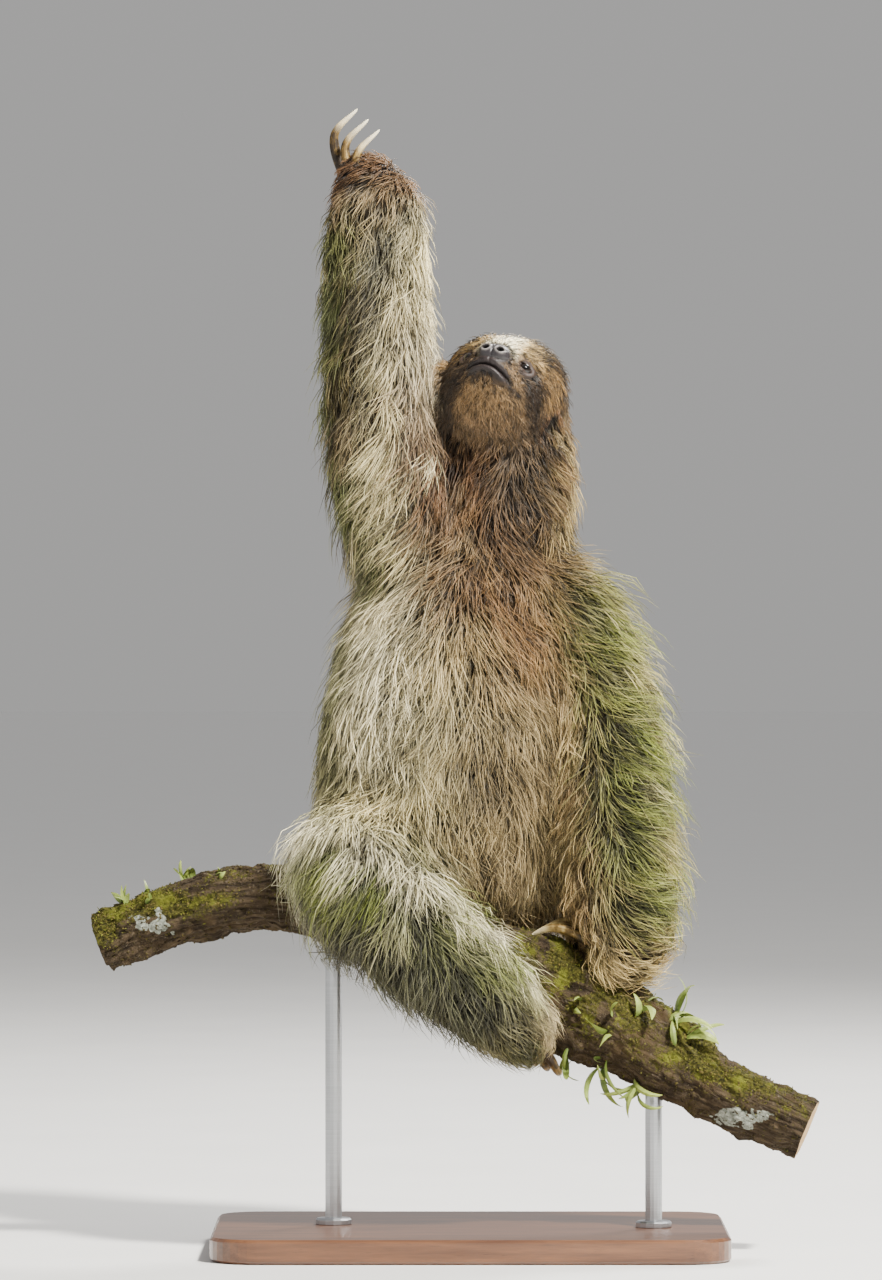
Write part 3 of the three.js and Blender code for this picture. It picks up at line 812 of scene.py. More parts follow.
# ---------------------------------------------------------------- what the skin knows at each of its points
def skin_fields(mesh):
    """What the coat follows, as arrays over the skin's points.

    Each limb's comb, colours, depth and length are blended by its share of the point. On the head the
    comb runs outwards from the muzzle and the hairs grow longer away from it.
    """
    points, triangles = points_of(mesh), triangles_of(mesh)
    rings = rings_of(triangles, len(points))
    places = {name: on_limb(points, name) for name in LIMBS}
    raw = normals_of(points, triangles)
    normals = unit(eased(raw, rings, EASED["coat_normals"]))
    shares = eased(limb_shares(points, places), rings, EASED["coat_shares"])
    comb, colours, rows = np.zeros((3, len(points), 3))
    shaggy = sum(shares[:, i] * SHAGGY.get(name, 1) for i, name in enumerate(LIMBS))
    for i, name in enumerate(LIMBS):
        place, _, off, row = places[name]
        share = shares[:, [i]]
        ways = between(COMBS[name], place)
        right = rise(off[:, :1] / row[:, 3:4], -.8, .8)
        comb += share * unit(ways[:, :3] * (1 - right) + ways[:, 3:] * right)
        colours += share * MARKS[name](points, normals, place, off)
        rows += share * row[:, 3:]
    q = in_head(points)
    on_head = share_of(shares, "head")
    behind = angle_between(unit(q), MUZZLE_WAY)[:, None]
    outward = unit(q - MUZZLE_WAY * dot(q, MUZZLE_WAY)[:, None]) @ HEAD_AXES
    face = on_head * (1 - rise(behind, 1.0, 2.0))
    comb = comb * (1 - face) + face * unit(outward + np.array(FACE_HANGS))
    comb += share_of(shares, "leg_right") * rise(normals[:, 2:], .2, .9) * np.array(KNEE_COMB)
    comb -= normals * dot(comb, normals)[:, None]
    comb = eased(comb, rings, EASED["comb"])
    comb -= normals * dot(comb, normals)[:, None]
    loose = 1 - rise(np.linalg.norm(comb, axis=1), .1, .5)
    comb = unit(comb)
    bare = on_head[:, 0] * bare_share(q)
    near_face = on_head[:, 0] * (1 - rise(behind[:, 0], .45, 1.7))
    depth = rows[:, 1] * (1 - on_head[:, 0]) + on_head[:, 0] * face_coat(q)
    face_length = FACE_HAIR["short"] + FACE_HAIR["more"] * rise(behind[:, 0], .3, .95)
    crown = on_head[:, 0] * rise(q[:, 1] + .45 * np.abs(q[:, 0]), 26, 34)
    length = rows[:, 2] * (1 - near_face) + near_face * face_length
    length *= 1 - EAR_SHORTER * on_head[:, 0] * (1 - rise(from_ear(q), 1.3, 3.2))
    swirl = SWIRL * (clouds(points, 24, 31) - .5) * (1 - near_face)
    return {
        "points": points, "triangles": triangles, "rings": rings, "normals": normals, "comb": comb,
        "colours": np.clip(colours, 0, 1), "depth": depth, "length": length, "bare": bare,
        "near_face": near_face, "owner": shares.argmax(1), "swirl": swirl,
        "shaggy": shaggy + CROWN_SHAGGY * crown, "loose": loose,
    }


def unwrap(skin):
    """Unwraps the skin by its own shape into the map that a bake uses."""
    skin.data.uv_layers.new(name="OFBake")
    bpy.context.view_layer.objects.active = skin
    skin.select_set(True)
    bpy.ops.object.mode_set(mode="EDIT")
    bpy.ops.mesh.select_all(action="SELECT")
    bpy.ops.uv.smart_project(angle_limit=ISLAND_ANGLE, island_margin=.002)
    bpy.ops.object.mode_set(mode="OBJECT")


ATTRIBUTE_FIELDS = {"FLOAT_COLOR": "color", "FLOAT": "value", "FLOAT_VECTOR": "vector"}


def give(mesh, name, kind, values):
    """Stores an array as an attribute of the mesh's points."""
    values = np.asarray(values, np.float32)
    if kind == "FLOAT_COLOR":
        values = np.hstack((values, np.ones((len(values), 1), np.float32)))
    layer = mesh.attributes.new(name, kind, "POINT")
    layer.data.foreach_set(ATTRIBUTE_FIELDS[kind], values.ravel())


# ---------------------------------------------------------------- the coat
# Each layer: hairs, straight lengths in a hair, width, its share at each joint, the spread of a clump and
# a hair's length as shares of the length there, height as a share of the coat's depth, chance to stand
# out, spread of the clumps' and hairs' turn from the comb, pull of a clump's tips, shade, and how much
# the clumps' tones differ. The under layer's negative shade is painted shade, deep in the coat.
LAYERS = {
    "under": {
        "hairs": 46_000, "segments": 2, "width": 1.25, "taper": (1, .85, 0), "spread": .13,
        "length": (.55, .95), "height": (.05, .55), "stray": 0, "turns": (.2, .35),
        "pull": .35, "shade": -.36, "tufts": .2,
    },
    "guard": {
        "hairs": 48_000, "segments": 3, "width": .78, "taper": (1, .95, .65, 0), "spread": .12,
        "length": (.8, 1.4), "height": (.4, 1.05), "stray": .22, "turns": (.26, .26),
        "pull": .6, "shade": .1, "tufts": .28,
    },
    "face": {
        "hairs": 24_000, "segments": 2, "width": .75, "taper": (1, .8, 0), "spread": .10,
        "length": (.6, 1.4), "height": (.1, 1.1), "stray": .08, "turns": (.26, .25),
        "pull": .75, "shade": .02, "tufts": .52,
    },
}
TONE = {"middle": .42, "differ": .3, "paler": .45, "pale_share": .2}  # a hair's own tone, by chance
CLUMP = 6  # hairs that run together at their tips
PATCH = 0.003  # a hair's size on the unwrap
SPARSE_ABOVE = 32  # where the hairs are shorter than this there are more of them
MOST_TRIANGLES = 190_000  # in one piece of the coat
FEWEST_HAIRS = 20  # fewer than this on a limb are left off
MARCH = 6  # steps along the skin in a hair
ROOT_SUNK = 0.8  # how far under the skin a hair starts
STANDS_OUT = 0.13  # how far a stray hair's tip rises, and below, how far a hair bends, by its length
BENDS = 0.05
THIN = 0.15  # where the weight is below this no hairs grow
MOST_CROWDED = 2.6  # how much closer together short hairs may stand


def nearest_on_skin(field, spots, at, hops=2):
    """The skin points nearest to spots that have moved a little from those given.

    Each takes the nearest of its point's neighbours, and does so once for each hop.
    """
    for _ in range(hops):
        rings = field["rings"][at]
        away = ((field["points"][rings] - spots[:, None]) ** 2).sum(2)
        at = rings[np.arange(len(at)), away.argmin(1)]
    return at


def laid_on_skin(field, spots, at):
    """Spots moved square to the skin onto the plane of their nearest skin point."""
    normals = field["normals"][at]
    return spots - normals * dot(spots - field["points"][at], normals)[:, None]


def scattered(field, uv, weight, count, random):
    """Random roots on the skin: their places, the nearest skin points and their places on the unwrap.

    A triangle is chosen by its area times the weight, and a place in it evenly.
    """
    triangles = field["triangles"]
    a, b, c = (field["points"][triangles[:, i]] for i in range(3))
    area = np.linalg.norm(np.cross(b - a, c - a), axis=1) * weight[triangles].mean(1)
    chosen = random.choice(len(triangles), count, p=area / area.sum())
    parts = random.dirichlet((1, 1, 1), count)
    places = sum(parts[:, [i]] * field["points"][triangles[chosen, i]] for i in range(3))
    roots_uv = (uv[chosen] * parts[:, :, None]).sum(1)
    return places, triangles[chosen, parts.argmax(1)], roots_uv


def marched(field, roots, at, length, turn):
    """Feet of the hairs as they run along the skin, and the skin points under them.

    A hair takes equal steps along the comb turned a little, each laid back on the skin.
    """
    spots, sites = [roots], [at]
    for _ in range(MARCH):
        comb, normals = field["comb"][at], field["normals"][at]
        way = unit(comb + np.cross(normals, comb) * turn[:, None])
        roots = roots + way * (length / MARCH)[:, None]
        at = nearest_on_skin(field, roots, at)
        roots = laid_on_skin(field, roots, at)
        spots.append(roots)
        sites.append(at)
    return np.stack(spots, 1), np.stack(sites, 1)


def clumped_roots(field, uv, weight, layer, random):
    """Roots in clumps: a middle one anywhere on the skin and the others beside it, laid on the skin."""
    middles, at, places_uv = scattered(field, uv, weight, layer["hairs"] // CLUMP, random)
    beside = random.normal(0, 1, (len(middles), CLUMP, 2)) * (random.random((len(middles), CLUMP, 1)) + .3)
    beside[:, 0] = 0
    apart = (layer["spread"] * field["length"][at])[:, None, None]
    comb, normals = field["comb"][at], field["normals"][at]
    roots = middles[:, None] + apart * (
        beside[..., :1] * comb[:, None] + beside[..., 1:] * np.cross(normals, comb)[:, None]
    )
    roots = roots.reshape(-1, 3)
    at = nearest_on_skin(field, roots, np.repeat(at, CLUMP), 4)
    return laid_on_skin(field, roots, at), at, np.repeat(places_uv, CLUMP, axis=0)


def hair_paths(field, roots, at, layer, random):
    """The middle lines of the hairs, with a side and an upward direction at each of their points.

    A hair marches along the comb. Its height above the skin rises from just under the skin to a
    random share of the coat's depth, quickly at first; a few stand out of the coat. It is drawn
    towards the first hair of its clump, more so at the tip, and bends a little to one side.
    """
    number, segments = len(roots), layer["segments"]
    length = field["length"][at] * random.uniform(*layer["length"], number)
    clump_turn, hair_turn = layer["turns"]
    turn = np.repeat(random.normal(0, clump_turn, number // CLUMP), CLUMP)
    turn += random.normal(0, hair_turn, number)
    turn *= 1 + 1.5 * field["loose"][at]
    spots, sites = marched(field, roots, at, length, turn + field["swirl"][at])
    picks = np.round(np.linspace(0, MARCH, segments + 1)).astype(int)
    spots, sites, share = spots[:, picks], sites[:, picks], picks / MARCH
    stray = (random.random(number) < layer["stray"]) * random.uniform(.2, .9, number) * field["shaggy"][at]
    top = random.uniform(*layer["height"], number) + .5 * stray
    height = (field["depth"][sites] * top[:, None] + ROOT_SUNK) * (1 - (1 - share) ** 2.2) - ROOT_SUNK
    height += (stray * length * STANDS_OUT)[:, None] * share**2
    ups = field["normals"][sites]
    paths = (spots + ups * height[..., None]).reshape(-1, CLUMP, segments + 1, 3)
    pull = (layer["pull"] * share**1.3)[:, None] * random.uniform(.3, 1, (len(paths), CLUMP, 1, 1))
    paths = (paths + (paths[:, :1] - paths) * pull).reshape(number, segments + 1, 3)
    sides = unit(np.cross(np.gradient(paths, axis=1), ups))
    bend = random.normal(0, BENDS, number) * length
    return paths + sides * (bend[:, None] * share**2)[..., None], sides, ups


def hair_tubes(paths, sides, ups, widths, taper):
    """Three-sided hairs: a ring at each place of the path but the last, its tip, and a cap at the root."""
    count, steps = paths.shape[:2]
    turn = np.radians((90, 210, 330))
    ring = np.cos(turn)[:, None] * sides[:, :-1, None] + np.sin(turn)[:, None] * ups[:, :-1, None]
    body = paths[:, :-1, None] + ring * (widths[:, None] * taper[:-1] / 2)[:, :, None, None]
    points = np.concatenate((body.reshape(count, -1, 3), paths[:, -1:]), 1)
    faces = [(0, 2, 1)]
    for step in range(steps - 2):
        for corner in range(3):
            low, next_low = 3 * step + corner, 3 * step + (corner + 1) % 3
            faces += [(low, next_low, next_low + 3), (low, next_low + 3, low + 3)]
    last = 3 * (steps - 2)
    faces += [(last + corner, last + (corner + 1) % 3, last + 3) for corner in range(3)]
    along = np.repeat(np.arange(steps) / (steps - 1), [3] * (steps - 1) + [1])
    around = np.append(np.tile((0, .5, 1), steps - 1), .5)
    return points, np.array(faces), along, around


def coat(name, field, uv, weight, material, random):
    """One layer of hairs over the skin where the weight is high, in pieces of one limb each."""
    layer = LAYERS[name]
    roots, at, places_uv = clumped_roots(field, uv, weight, layer, random)
    paths, sides, ups = hair_paths(field, roots, at, layer, random)
    number = len(roots)
    widths = layer["width"] * random.uniform(.7, 1.3, number)
    tone = TONE["middle"] + layer["shade"] + random.normal(0, TONE["differ"], number)
    tone += TONE["paler"] * (random.random(number) < TONE["pale_share"])
    tone += np.repeat(random.normal(0, layer["tufts"], number // CLUMP), CLUMP)
    owner = np.array(list(LIMBS))[field["owner"][at]]
    triangles = 4 + 6 * (layer["segments"] - 1)
    for limb in LIMBS:
        mine = np.flatnonzero((weight[at] > THIN) & (owner == limb))
        mine = mine[np.argsort(roots[mine, 2], kind="stable")]
        if len(mine) < FEWEST_HAIRS:
            continue
        for part, hairs in enumerate(np.array_split(mine, -(-len(mine) * triangles // MOST_TRIANGLES))):
            points, faces, along, around = hair_tubes(
                paths[hairs], sides[hairs], ups[hairs], widths[hairs], np.array(layer["taper"])
            )
            each = points.shape[1]
            faces = (faces + each * np.arange(len(hairs))[:, None, None]).reshape(-1, 3)
            mesh = mesh_from(f"coat_{name}_{limb}_{part + 1}", points.reshape(-1, 3), faces)
            give(mesh, "Marking", "FLOAT_COLOR", np.repeat(field["colours"][at[hairs]], each, axis=0))
            give(mesh, "Along", "FLOAT", np.tile(along, len(hairs)))
            give(mesh, "Tone", "FLOAT", np.repeat(tone[hairs], each))
            at_root = places_uv[hairs][:, None] + (np.stack((around, along), 1) - .5) * PATCH
            at_corners = at_root.reshape(-1, 2)[faces.ravel()].astype(np.float32)
            layer_uv = mesh.uv_layers.new(name="OFBake")
            layer_uv.uv.foreach_set("vector", at_corners.ravel())
            piece(mesh.name, mesh, material, "fur")


# ---------------------------------------------------------------- finishes
def add(tree, kind, sockets=None, out=0, **settings):
    """Adds a shader node, sets its properties, sets or links its sockets, and gives one of its outputs."""
    node = tree.nodes.new("ShaderNode" + kind)
    for key, value in settings.items():
        setattr(node, key, value)
    for key, value in (sockets or {}).items():
        if isinstance(value, bpy.types.NodeSocket):
            tree.links.new(value, node.inputs[key])
        else:
            node.inputs[key].default_value = value
    return node.outputs[out]


def finish(name, **fixed):
    """A new material and its node tree, with the given sockets of its shader set."""
    material = bpy.data.materials.new(name)
    material.use_nodes = True
    shader = material.node_tree.nodes["Principled BSDF"]
    for key, value in fixed.items():
        shader.inputs[key.replace("_", " ")].default_value = value
    return material, material.node_tree, shader


def rgba(tint):
    """A colour with full opacity, as a socket takes it."""
    return (*np.clip(tint, 0, 1), 1)


def mixed(tree, share, first, second, blend="MIX"):
    """A colour between two, or one laid on the other by another way of blending."""
    first, second = (rgba(c) if isinstance(c, np.ndarray) else c for c in (first, second))
    return add(tree, "Mix", {0: share, 6: first, 7: second}, out=2, data_type="RGBA", blend_type=blend)


def sums(tree, how, *values):
    """A sum, difference or product of values, worked out by the shader."""
    return add(tree, "Math", dict(enumerate(values)), operation=how)


def spread(tree, value, low, high, to_low=0.0, to_high=1.0):
    """A value's range mapped onto another one, and held inside it."""
    return add(tree, "MapRange", {0: value, 1: low, 2: high, 3: to_low, 4: to_high})


def noise(tree, at, scale, detail=3.0, roughness=.5):
    """The shader's own soft noise at a place, from 0 to 1."""
    return add(tree, "TexNoise", {"Vector": at, "Scale": scale, "Detail": detail, "Roughness": roughness})


def object_place(tree, stretch=(1, 1, 1)):
    """The place on the object in metres, stretched along its axes."""
    at = add(tree, "TexCoord", out=3)
    return at if stretch == (1, 1, 1) else add(tree, "Mapping", {"Vector": at, "Scale": stretch})


def attribute(tree, name, out=0):
    """What a mesh's points carry under the name: as a colour (0), a vector (1) or a number (2)."""
    return add(tree, "Attribute", out=out, attribute_name=name)


def painted(tree, shader, tint):
    """Gives the shader its colour."""
    tree.links.new(tint, shader.inputs["Base Color"])


def relief(tree, shader, height, strength, distance):
    """Bumps from a height, in metres at full height."""
    bumps = add(tree, "Bump", {"Height": height, "Strength": strength, "Distance": distance})
    tree.links.new(bumps, shader.inputs["Normal"])


def fur_finish():
    """Hairs: the coat's marking, with painted shade towards the root and paler at the tip, each with its own
    tone.
    """
    material, tree, shader = finish("sloth_hair", Roughness=.5, Specular_IOR_Level=.35, Sheen_Weight=.05)
    shader.inputs["Sheen Roughness"].default_value = .5
    along = attribute(tree, "Along", 2)
    # painted shade at the roots, deep in the coat; paler towards the tips
    painted_root_shade = spread(tree, along, .05, .8, .08, 1.25)
    tone = spread(tree, attribute(tree, "Tone", 2), 0, 1, .3, 1.75)
    streak = spread(tree, noise(tree, object_place(tree), 420), .3, .7, .86, 1.12)
    level = sums(tree, "MULTIPLY", sums(tree, "MULTIPLY", painted_root_shade, tone), streak)
    grey = add(tree, "CombineColor", {0: level, 1: level, 2: level})
    painted(tree, shader, mixed(tree, 1.0, attribute(tree, "Marking"), grey, "MULTIPLY"))
    return material


def skin_finish():
    """Skin: dark undercoat with the coat's markings, partly painted shade of the gaps, and dark pebbled
    leather on lips and lids.
    """
    material, tree, shader = finish("sloth_skin", Specular_IOR_Level=.35)
    place = object_place(tree)
    bare = attribute(tree, "Bare", 2)
    # partly painted shade: the skin between the hairs is darkened so the gaps read as deep
    undercoat_and_gap_shade = mixed(tree, noise(tree, place, 900, 4.0, .7), colour(34, 30, 26), colour(84, 76, 66))
    under = mixed(tree, 1.0, attribute(tree, "Marking"), undercoat_and_gap_shade, "MULTIPLY")
    pebbles = add(tree, "TexVoronoi", {"Vector": place, "Scale": 620.0})
    grain = noise(tree, place, 260, 4.0)
    leather = mixed(tree, grain, attribute(tree, "Marking"), colour(54, 46, 45))
    painted(tree, shader, mixed(tree, bare, under, leather))
    tree.links.new(spread(tree, bare, 0, 1, .9, .44), shader.inputs["Roughness"])
    both = sums(tree, "ADD", sums(tree, "MULTIPLY", pebbles, .6), grain)
    relief(tree, shader, both, .45, .0009)
    return material


def eye_finish():
    """Dark brown eye with a black pupil and a wet surface."""
    material, tree, shader = finish(
        "sloth_eye", Roughness=.12, Specular_IOR_Level=.3, Coat_Weight=.6, Coat_Roughness=.03
    )
    iris = attribute(tree, "Iris", 2)
    streaks = noise(tree, object_place(tree), 700, 4.0)
    brown = mixed(tree, streaks, colour(12, 8, 6), colour(30, 20, 14))
    tint = mixed(tree, spread(tree, iris, .3, .4), colour(5, 4, 4), brown)
    tint = mixed(tree, spread(tree, iris, .8, .95), tint, colour(34, 26, 22))
    painted(tree, shader, tint)
    return material


def claw_finish():
    """Horn: cream, streaked along the claw, stained brown towards the root, and palest at the tip."""
    material, tree, shader = finish("sloth_claw", Roughness=.5, Specular_IOR_Level=.35)
    along = attribute(tree, "Along", 2)
    at = add(tree, "Mapping", {"Vector": attribute(tree, "Grain", 1), "Scale": (60, 60, 6)})
    streaks = noise(tree, at, 4, 5.0, .6)
    blotches = noise(tree, object_place(tree), 130, 3.0)
    horn = mixed(tree, streaks, colour(150, 124, 70), colour(214, 194, 138))
    dirty = sums(tree, "ADD", along, spread(tree, blotches, .3, .7, -.22, .22))
    dirty = sums(tree, "ADD", dirty, spread(tree, streaks, .3, .7, -.12, .12))
    dirty = sums(tree, "SUBTRACT", dirty, attribute(tree, "Stain", 2))
    amber = mixed(tree, spread(tree, dirty, .25, .6), colour(44, 34, 20), colour(124, 98, 50))
    stained = mixed(tree, spread(tree, dirty, .5, .86), amber, horn)
    painted(tree, shader, mixed(tree, spread(tree, along, .7, 1), stained, colour(236, 226, 196)))
    relief(tree, shader, streaks, .6, .001)
    return material


def nose_finish():
    """Wet black-grey leather, finely pebbled, with a painted highlight round each nostril and painted shade
    inside it.
    """
    material, tree, shader = finish("sloth_nose", Roughness=.36, Specular_IOR_Level=.5)
    place = object_place(tree)
    pebbles = add(tree, "TexVoronoi", {"Vector": place, "Scale": 900.0})
    mottle = noise(tree, place, 160, 4.0)
    dark = mixed(tree, mottle, colour(22, 20, 22), colour(54, 50, 52))
    # painted highlight: a pale, mottled ring on the raised rim round each nostril
    rim = sums(tree, "MULTIPLY", attribute(tree, "RimHighlight", 2), spread(tree, mottle, .3, .6, .1, .7))
    dark = mixed(tree, rim, dark, colour(152, 146, 142))
    # painted shade: the nostrils near black inside
    painted(tree, shader, mixed(tree, attribute(tree, "HoleShade", 2), dark, colour(4, 3, 3)))
    relief(tree, shader, pebbles, .25, .0005)
    return material


def bark_finish():
    """Bark: brown-grey, furrowed along the branch, with moss and pale lichen, and ringed sawn ends."""
    material, tree, shader = finish("sloth_perch_bark", Roughness=.9, Specular_IOR_Level=.2)
    place = object_place(tree)
    grain = add(tree, "Mapping", {"Vector": attribute(tree, "Grain", 1), "Scale": (1, 1, .5)})
    furrows = noise(tree, grain, 210, 7.0, .7)
    crumbly = noise(tree, place, 330, 5.0, .75)
    cracks = add(tree, "TexVoronoi", {"Vector": grain, "Scale": 120.0}, feature="DISTANCE_TO_EDGE")
    broken = spread(tree, cracks, 0, .14)
    bark = mixed(tree, spread(tree, furrows, .34, .66), colour(32, 25, 18), colour(92, 78, 60))
    cracked = sums(tree, "MULTIPLY", sums(tree, "SUBTRACT", 1.0, broken), .55)
    bark = mixed(tree, cracked, bark, colour(30, 23, 18))
    bark = mixed(tree, spread(tree, crumbly, .58, .74, 0, .6), bark, colour(142, 130, 108))
    bark = mixed(tree, spread(tree, noise(tree, place, 30, 4.0), .52, .64, 0, .8), bark, colour(76, 62, 43))
    fine = noise(tree, place, 420, 4.0, .7)
    green = mixed(tree, spread(tree, fine, .35, .65), colour(30, 30, 14), colour(92, 88, 40))
    tufts = spread(tree, noise(tree, place, 60, 3.0), .52, .66, 0, .6)
    green = mixed(tree, tufts, green, colour(118, 122, 42))
    patchy = sums(tree, "ADD", attribute(tree, "Moss", 2), spread(tree, crumbly, .3, .7, .6, -.6))
    bark = mixed(tree, spread(tree, patchy, .25, .6), bark, green)
    crusty = sums(tree, "ADD", attribute(tree, "Lichen", 2), spread(tree, crumbly, .3, .7, .3, -.3))
    lichen = mixed(tree, spread(tree, fine, .3, .7), colour(96, 100, 88), colour(186, 190, 176))
    bark = mixed(tree, spread(tree, crusty, .42, .55), bark, lichen)
    wavering = {"Scale": 60.0, "Distortion": 3.0, "Detail": 3.0, "Detail Scale": 2.0}
    centred = {"Vector": attribute(tree, "Grain", 1), **wavering}
    rings = add(tree, "TexWave", centred, out=1, wave_type="RINGS", rings_direction="Z")
    wood = mixed(tree, rings, colour(176, 140, 96), colour(212, 182, 138))
    ends = attribute(tree, "Sawn", 2)
    painted(tree, shader, mixed(tree, ends, bark, wood))
    height = sums(tree, "ADD", sums(tree, "MULTIPLY", broken, .5), sums(tree, "ADD", furrows, crumbly))
    relief(tree, shader, sums(tree, "MULTIPLY", height, sums(tree, "SUBTRACT", 1.0, ends)), 1.0, .003)
    return material


def plant_finish(name, dark, pale, rough=.6):
    """A small plant's green: darker at its foot, with each leaf or shoot its own tone."""
    material, tree, shader = finish(name, Roughness=rough, Specular_IOR_Level=.3)
    along, tone = attribute(tree, "Along", 2), attribute(tree, "Tone", 2)
    mottle = noise(tree, object_place(tree), 260, 3.0)
    share = sums(tree, "ADD", sums(tree, "MULTIPLY", along, .6), sums(tree, "MULTIPLY", tone, .5))
    tint = mixed(tree, sums(tree, "MULTIPLY", share, spread(tree, mottle, .3, .7, .75, 1.15)), dark, pale)
    painted(tree, shader, tint)
    return material


def stand_wood_finish():
    """Varnished walnut: grain along the base, in long wavering rings, with fine pores."""
    material, tree, shader = finish("stand_walnut", Roughness=.34, Coat_Weight=.5, Coat_Roughness=.18)
    drawn = object_place(tree, (1.6, 22, 22))
    warp = noise(tree, drawn, 2.2, 4.0)
    grain = noise(tree, drawn, 5.5, 6.0, .65)
    pores = noise(tree, object_place(tree, (18, 420, 420)), 3.0, 3.0)
    wood = mixed(tree, spread(tree, grain, .3, .7), colour(66, 40, 26), colour(122, 82, 54))
    wood = mixed(tree, spread(tree, warp, .35, .7, 0, .5), wood, colour(92, 58, 36))
    wood = mixed(tree, spread(tree, pores, .62, .72, 0, .6), wood, colour(46, 28, 18))
    painted(tree, shader, wood)
    relief(tree, shader, pores, .12, .0004)
    return material


def stand_steel_finish():
    """Brushed steel: fine scratches round the rods."""
    material, tree, shader = finish("stand_steel", Metallic=1.0)
    brushed = noise(tree, object_place(tree, (3, 3, 900)), 4.0, 3.0)
    painted(tree, shader, mixed(tree, brushed, colour(150, 152, 156), colour(205, 207, 210)))
    tree.links.new(spread(tree, brushed, .2, .8, .26, .42), shader.inputs["Roughness"])
    relief(tree, shader, brushed, .15, .0002)
    return material


def floor_finish():
    """A plain pale floor with the faintest unevenness."""
    material, tree, shader = finish("studio_floor", Specular_IOR_Level=.2)
    mottle = noise(tree, object_place(tree), 6, 3.0)
    painted(tree, shader, mixed(tree, mottle, colour(230, 229, 226), colour(236, 235, 232)))
    tree.links.new(spread(tree, mottle, .3, .7, .6, .7), shader.inputs["Roughness"])
    return material


# ---------------------------------------------------------------- eyes, nose and claws
NOSE_GROWN = 1.0  # how far the pad stands out of its solid
NOSTRIL = {"apart": 6.2, "up": .2, "wide": 3.0, "tall": 2.5, "deep": 4.6}
CLAW = {"deep": 5.5, "wide": 4.7, "taper": .84}  # half-sizes at the root, and the share lost by the tip
INSIDE = {"back": .3, "paw": .45}  # where a claw starts: back along its bend, and towards the paw's middle
STAIN = {"hand_right": .22, "hand_left": .05, "foot_right": .15}  # how far up the claws are stained
ROOTED = {"hand_left": (8, 6, 7)}  # how much deeper in the paw the claws are rooted
PAWS = {
    "hand_right": "arm_right", "hand_left": "arm_left", "foot_right": "leg_right", "foot_left": "leg_left",
}
# root, highest bend, tip, and the step to the next claw
CLAWS = {
    "hand_right": ((-95, -5, 876), (-102, -6, 905), (-83, -4, 927), (9.2, -14, -9.5)),
    "hand_left": ((92, -24, 250), (72, -16, 267), (48, -6, 256), (4.5, 9.5, 2)),
    "foot_right": ((55, -56, 164), (62, -38, 152), (65, -9, 153), (9.5, 1.5, -4)),
    "foot_left": ((88, 30, 236), (84, 43, 210), (81, 35, 181), (9.5, -1.5, -4)),
}


def eye(side, material):
    """An eyeball: a sphere about its own way out of the head, with a slight bell for the cornea."""
    rows, columns = 40, 48
    polar = math.pi * np.linspace(0, 1, rows)[:, None]
    turn = turns(columns)
    out = unit(EYE_WAY) * (side, 1, 1)
    centre, across, upright = eye_frame(out)
    radius = (EYE["radius"] + .45 * bell(polar, 0, .5))[..., None]
    ring = np.cos(turn)[:, None] * across + np.sin(turn)[:, None] * upright
    places = centre + radius * (np.cos(polar)[..., None] * out + np.sin(polar)[..., None] * ring)
    name = "eye_left" if side > 0 else "eye_right"
    mesh = tidy(mesh_from(f"{name}_ball", from_head(places.reshape(-1, 3)), grid_faces(rows, columns)))
    away = angle_between(unit(in_head(points_of(mesh)) - centre), out)
    give(mesh, "Iris", "FLOAT", away)
    return piece(mesh.name, mesh, material, "eye", name)


def nose_pad(material):
    """The nose leather: an oval pad, squarer above than below, with two comma-shaped nostrils.

    Each nostril is a bell-shaped hole with a soft rim round it and a slit running outwards from it;
    a shallow groove runs down the middle.
    """
    rows, columns = 84, 110
    polar = math.pi * np.linspace(0, 1, rows)[:, None] ** 1.15
    turn = turns(columns)
    way = stacked(np.sin(polar) * np.cos(turn), np.sin(polar) * np.sin(turn), np.cos(polar)).reshape(-1, 3)
    full = (np.abs(way) ** 2.4).sum(-1) ** (-1 / 2.4)
    half = np.array(NOSE["half"]) + NOSE_GROWN
    flat = way * full[:, None] * half
    x, y = np.abs(flat[:, 0]) - NOSTRIL["apart"], flat[:, 1] - NOSTRIL["up"]
    front = way[:, 2] > 0
    hole = np.hypot(x / NOSTRIL["wide"], y / NOSTRIL["tall"])
    slit = bell(y - .35 * x, -.6, .8) * rise(x, .5, 2.5) * (1 - rise(x, 4.2, 6))
    inward = front * (NOSTRIL["deep"] * (1 - rise(hole, .35, 1.05)) + 1.6 * slit)
    inward -= front * (.9 * bell(hole, 1.35, .35) - .5 * bell(flat[:, 0], 0, .8))
    places = np.array(NOSE["at"]) + flat - np.array((0, 0, 1)) * inward[:, None]
    mesh = mesh_from("nose_leather", from_head(places), grid_faces(rows, columns))
    # painted highlight: the pale ring round each nostril
    give(mesh, "RimHighlight", "FLOAT", front * bell(hole, 1.35, .3))
    # painted shade: the inside of each nostril
    give(mesh, "HoleShade", "FLOAT", front * (1 - rise(hole, .6, 1.05)))
    tidy(mesh)
    return piece(mesh.name, mesh, material, "nose", "nose")


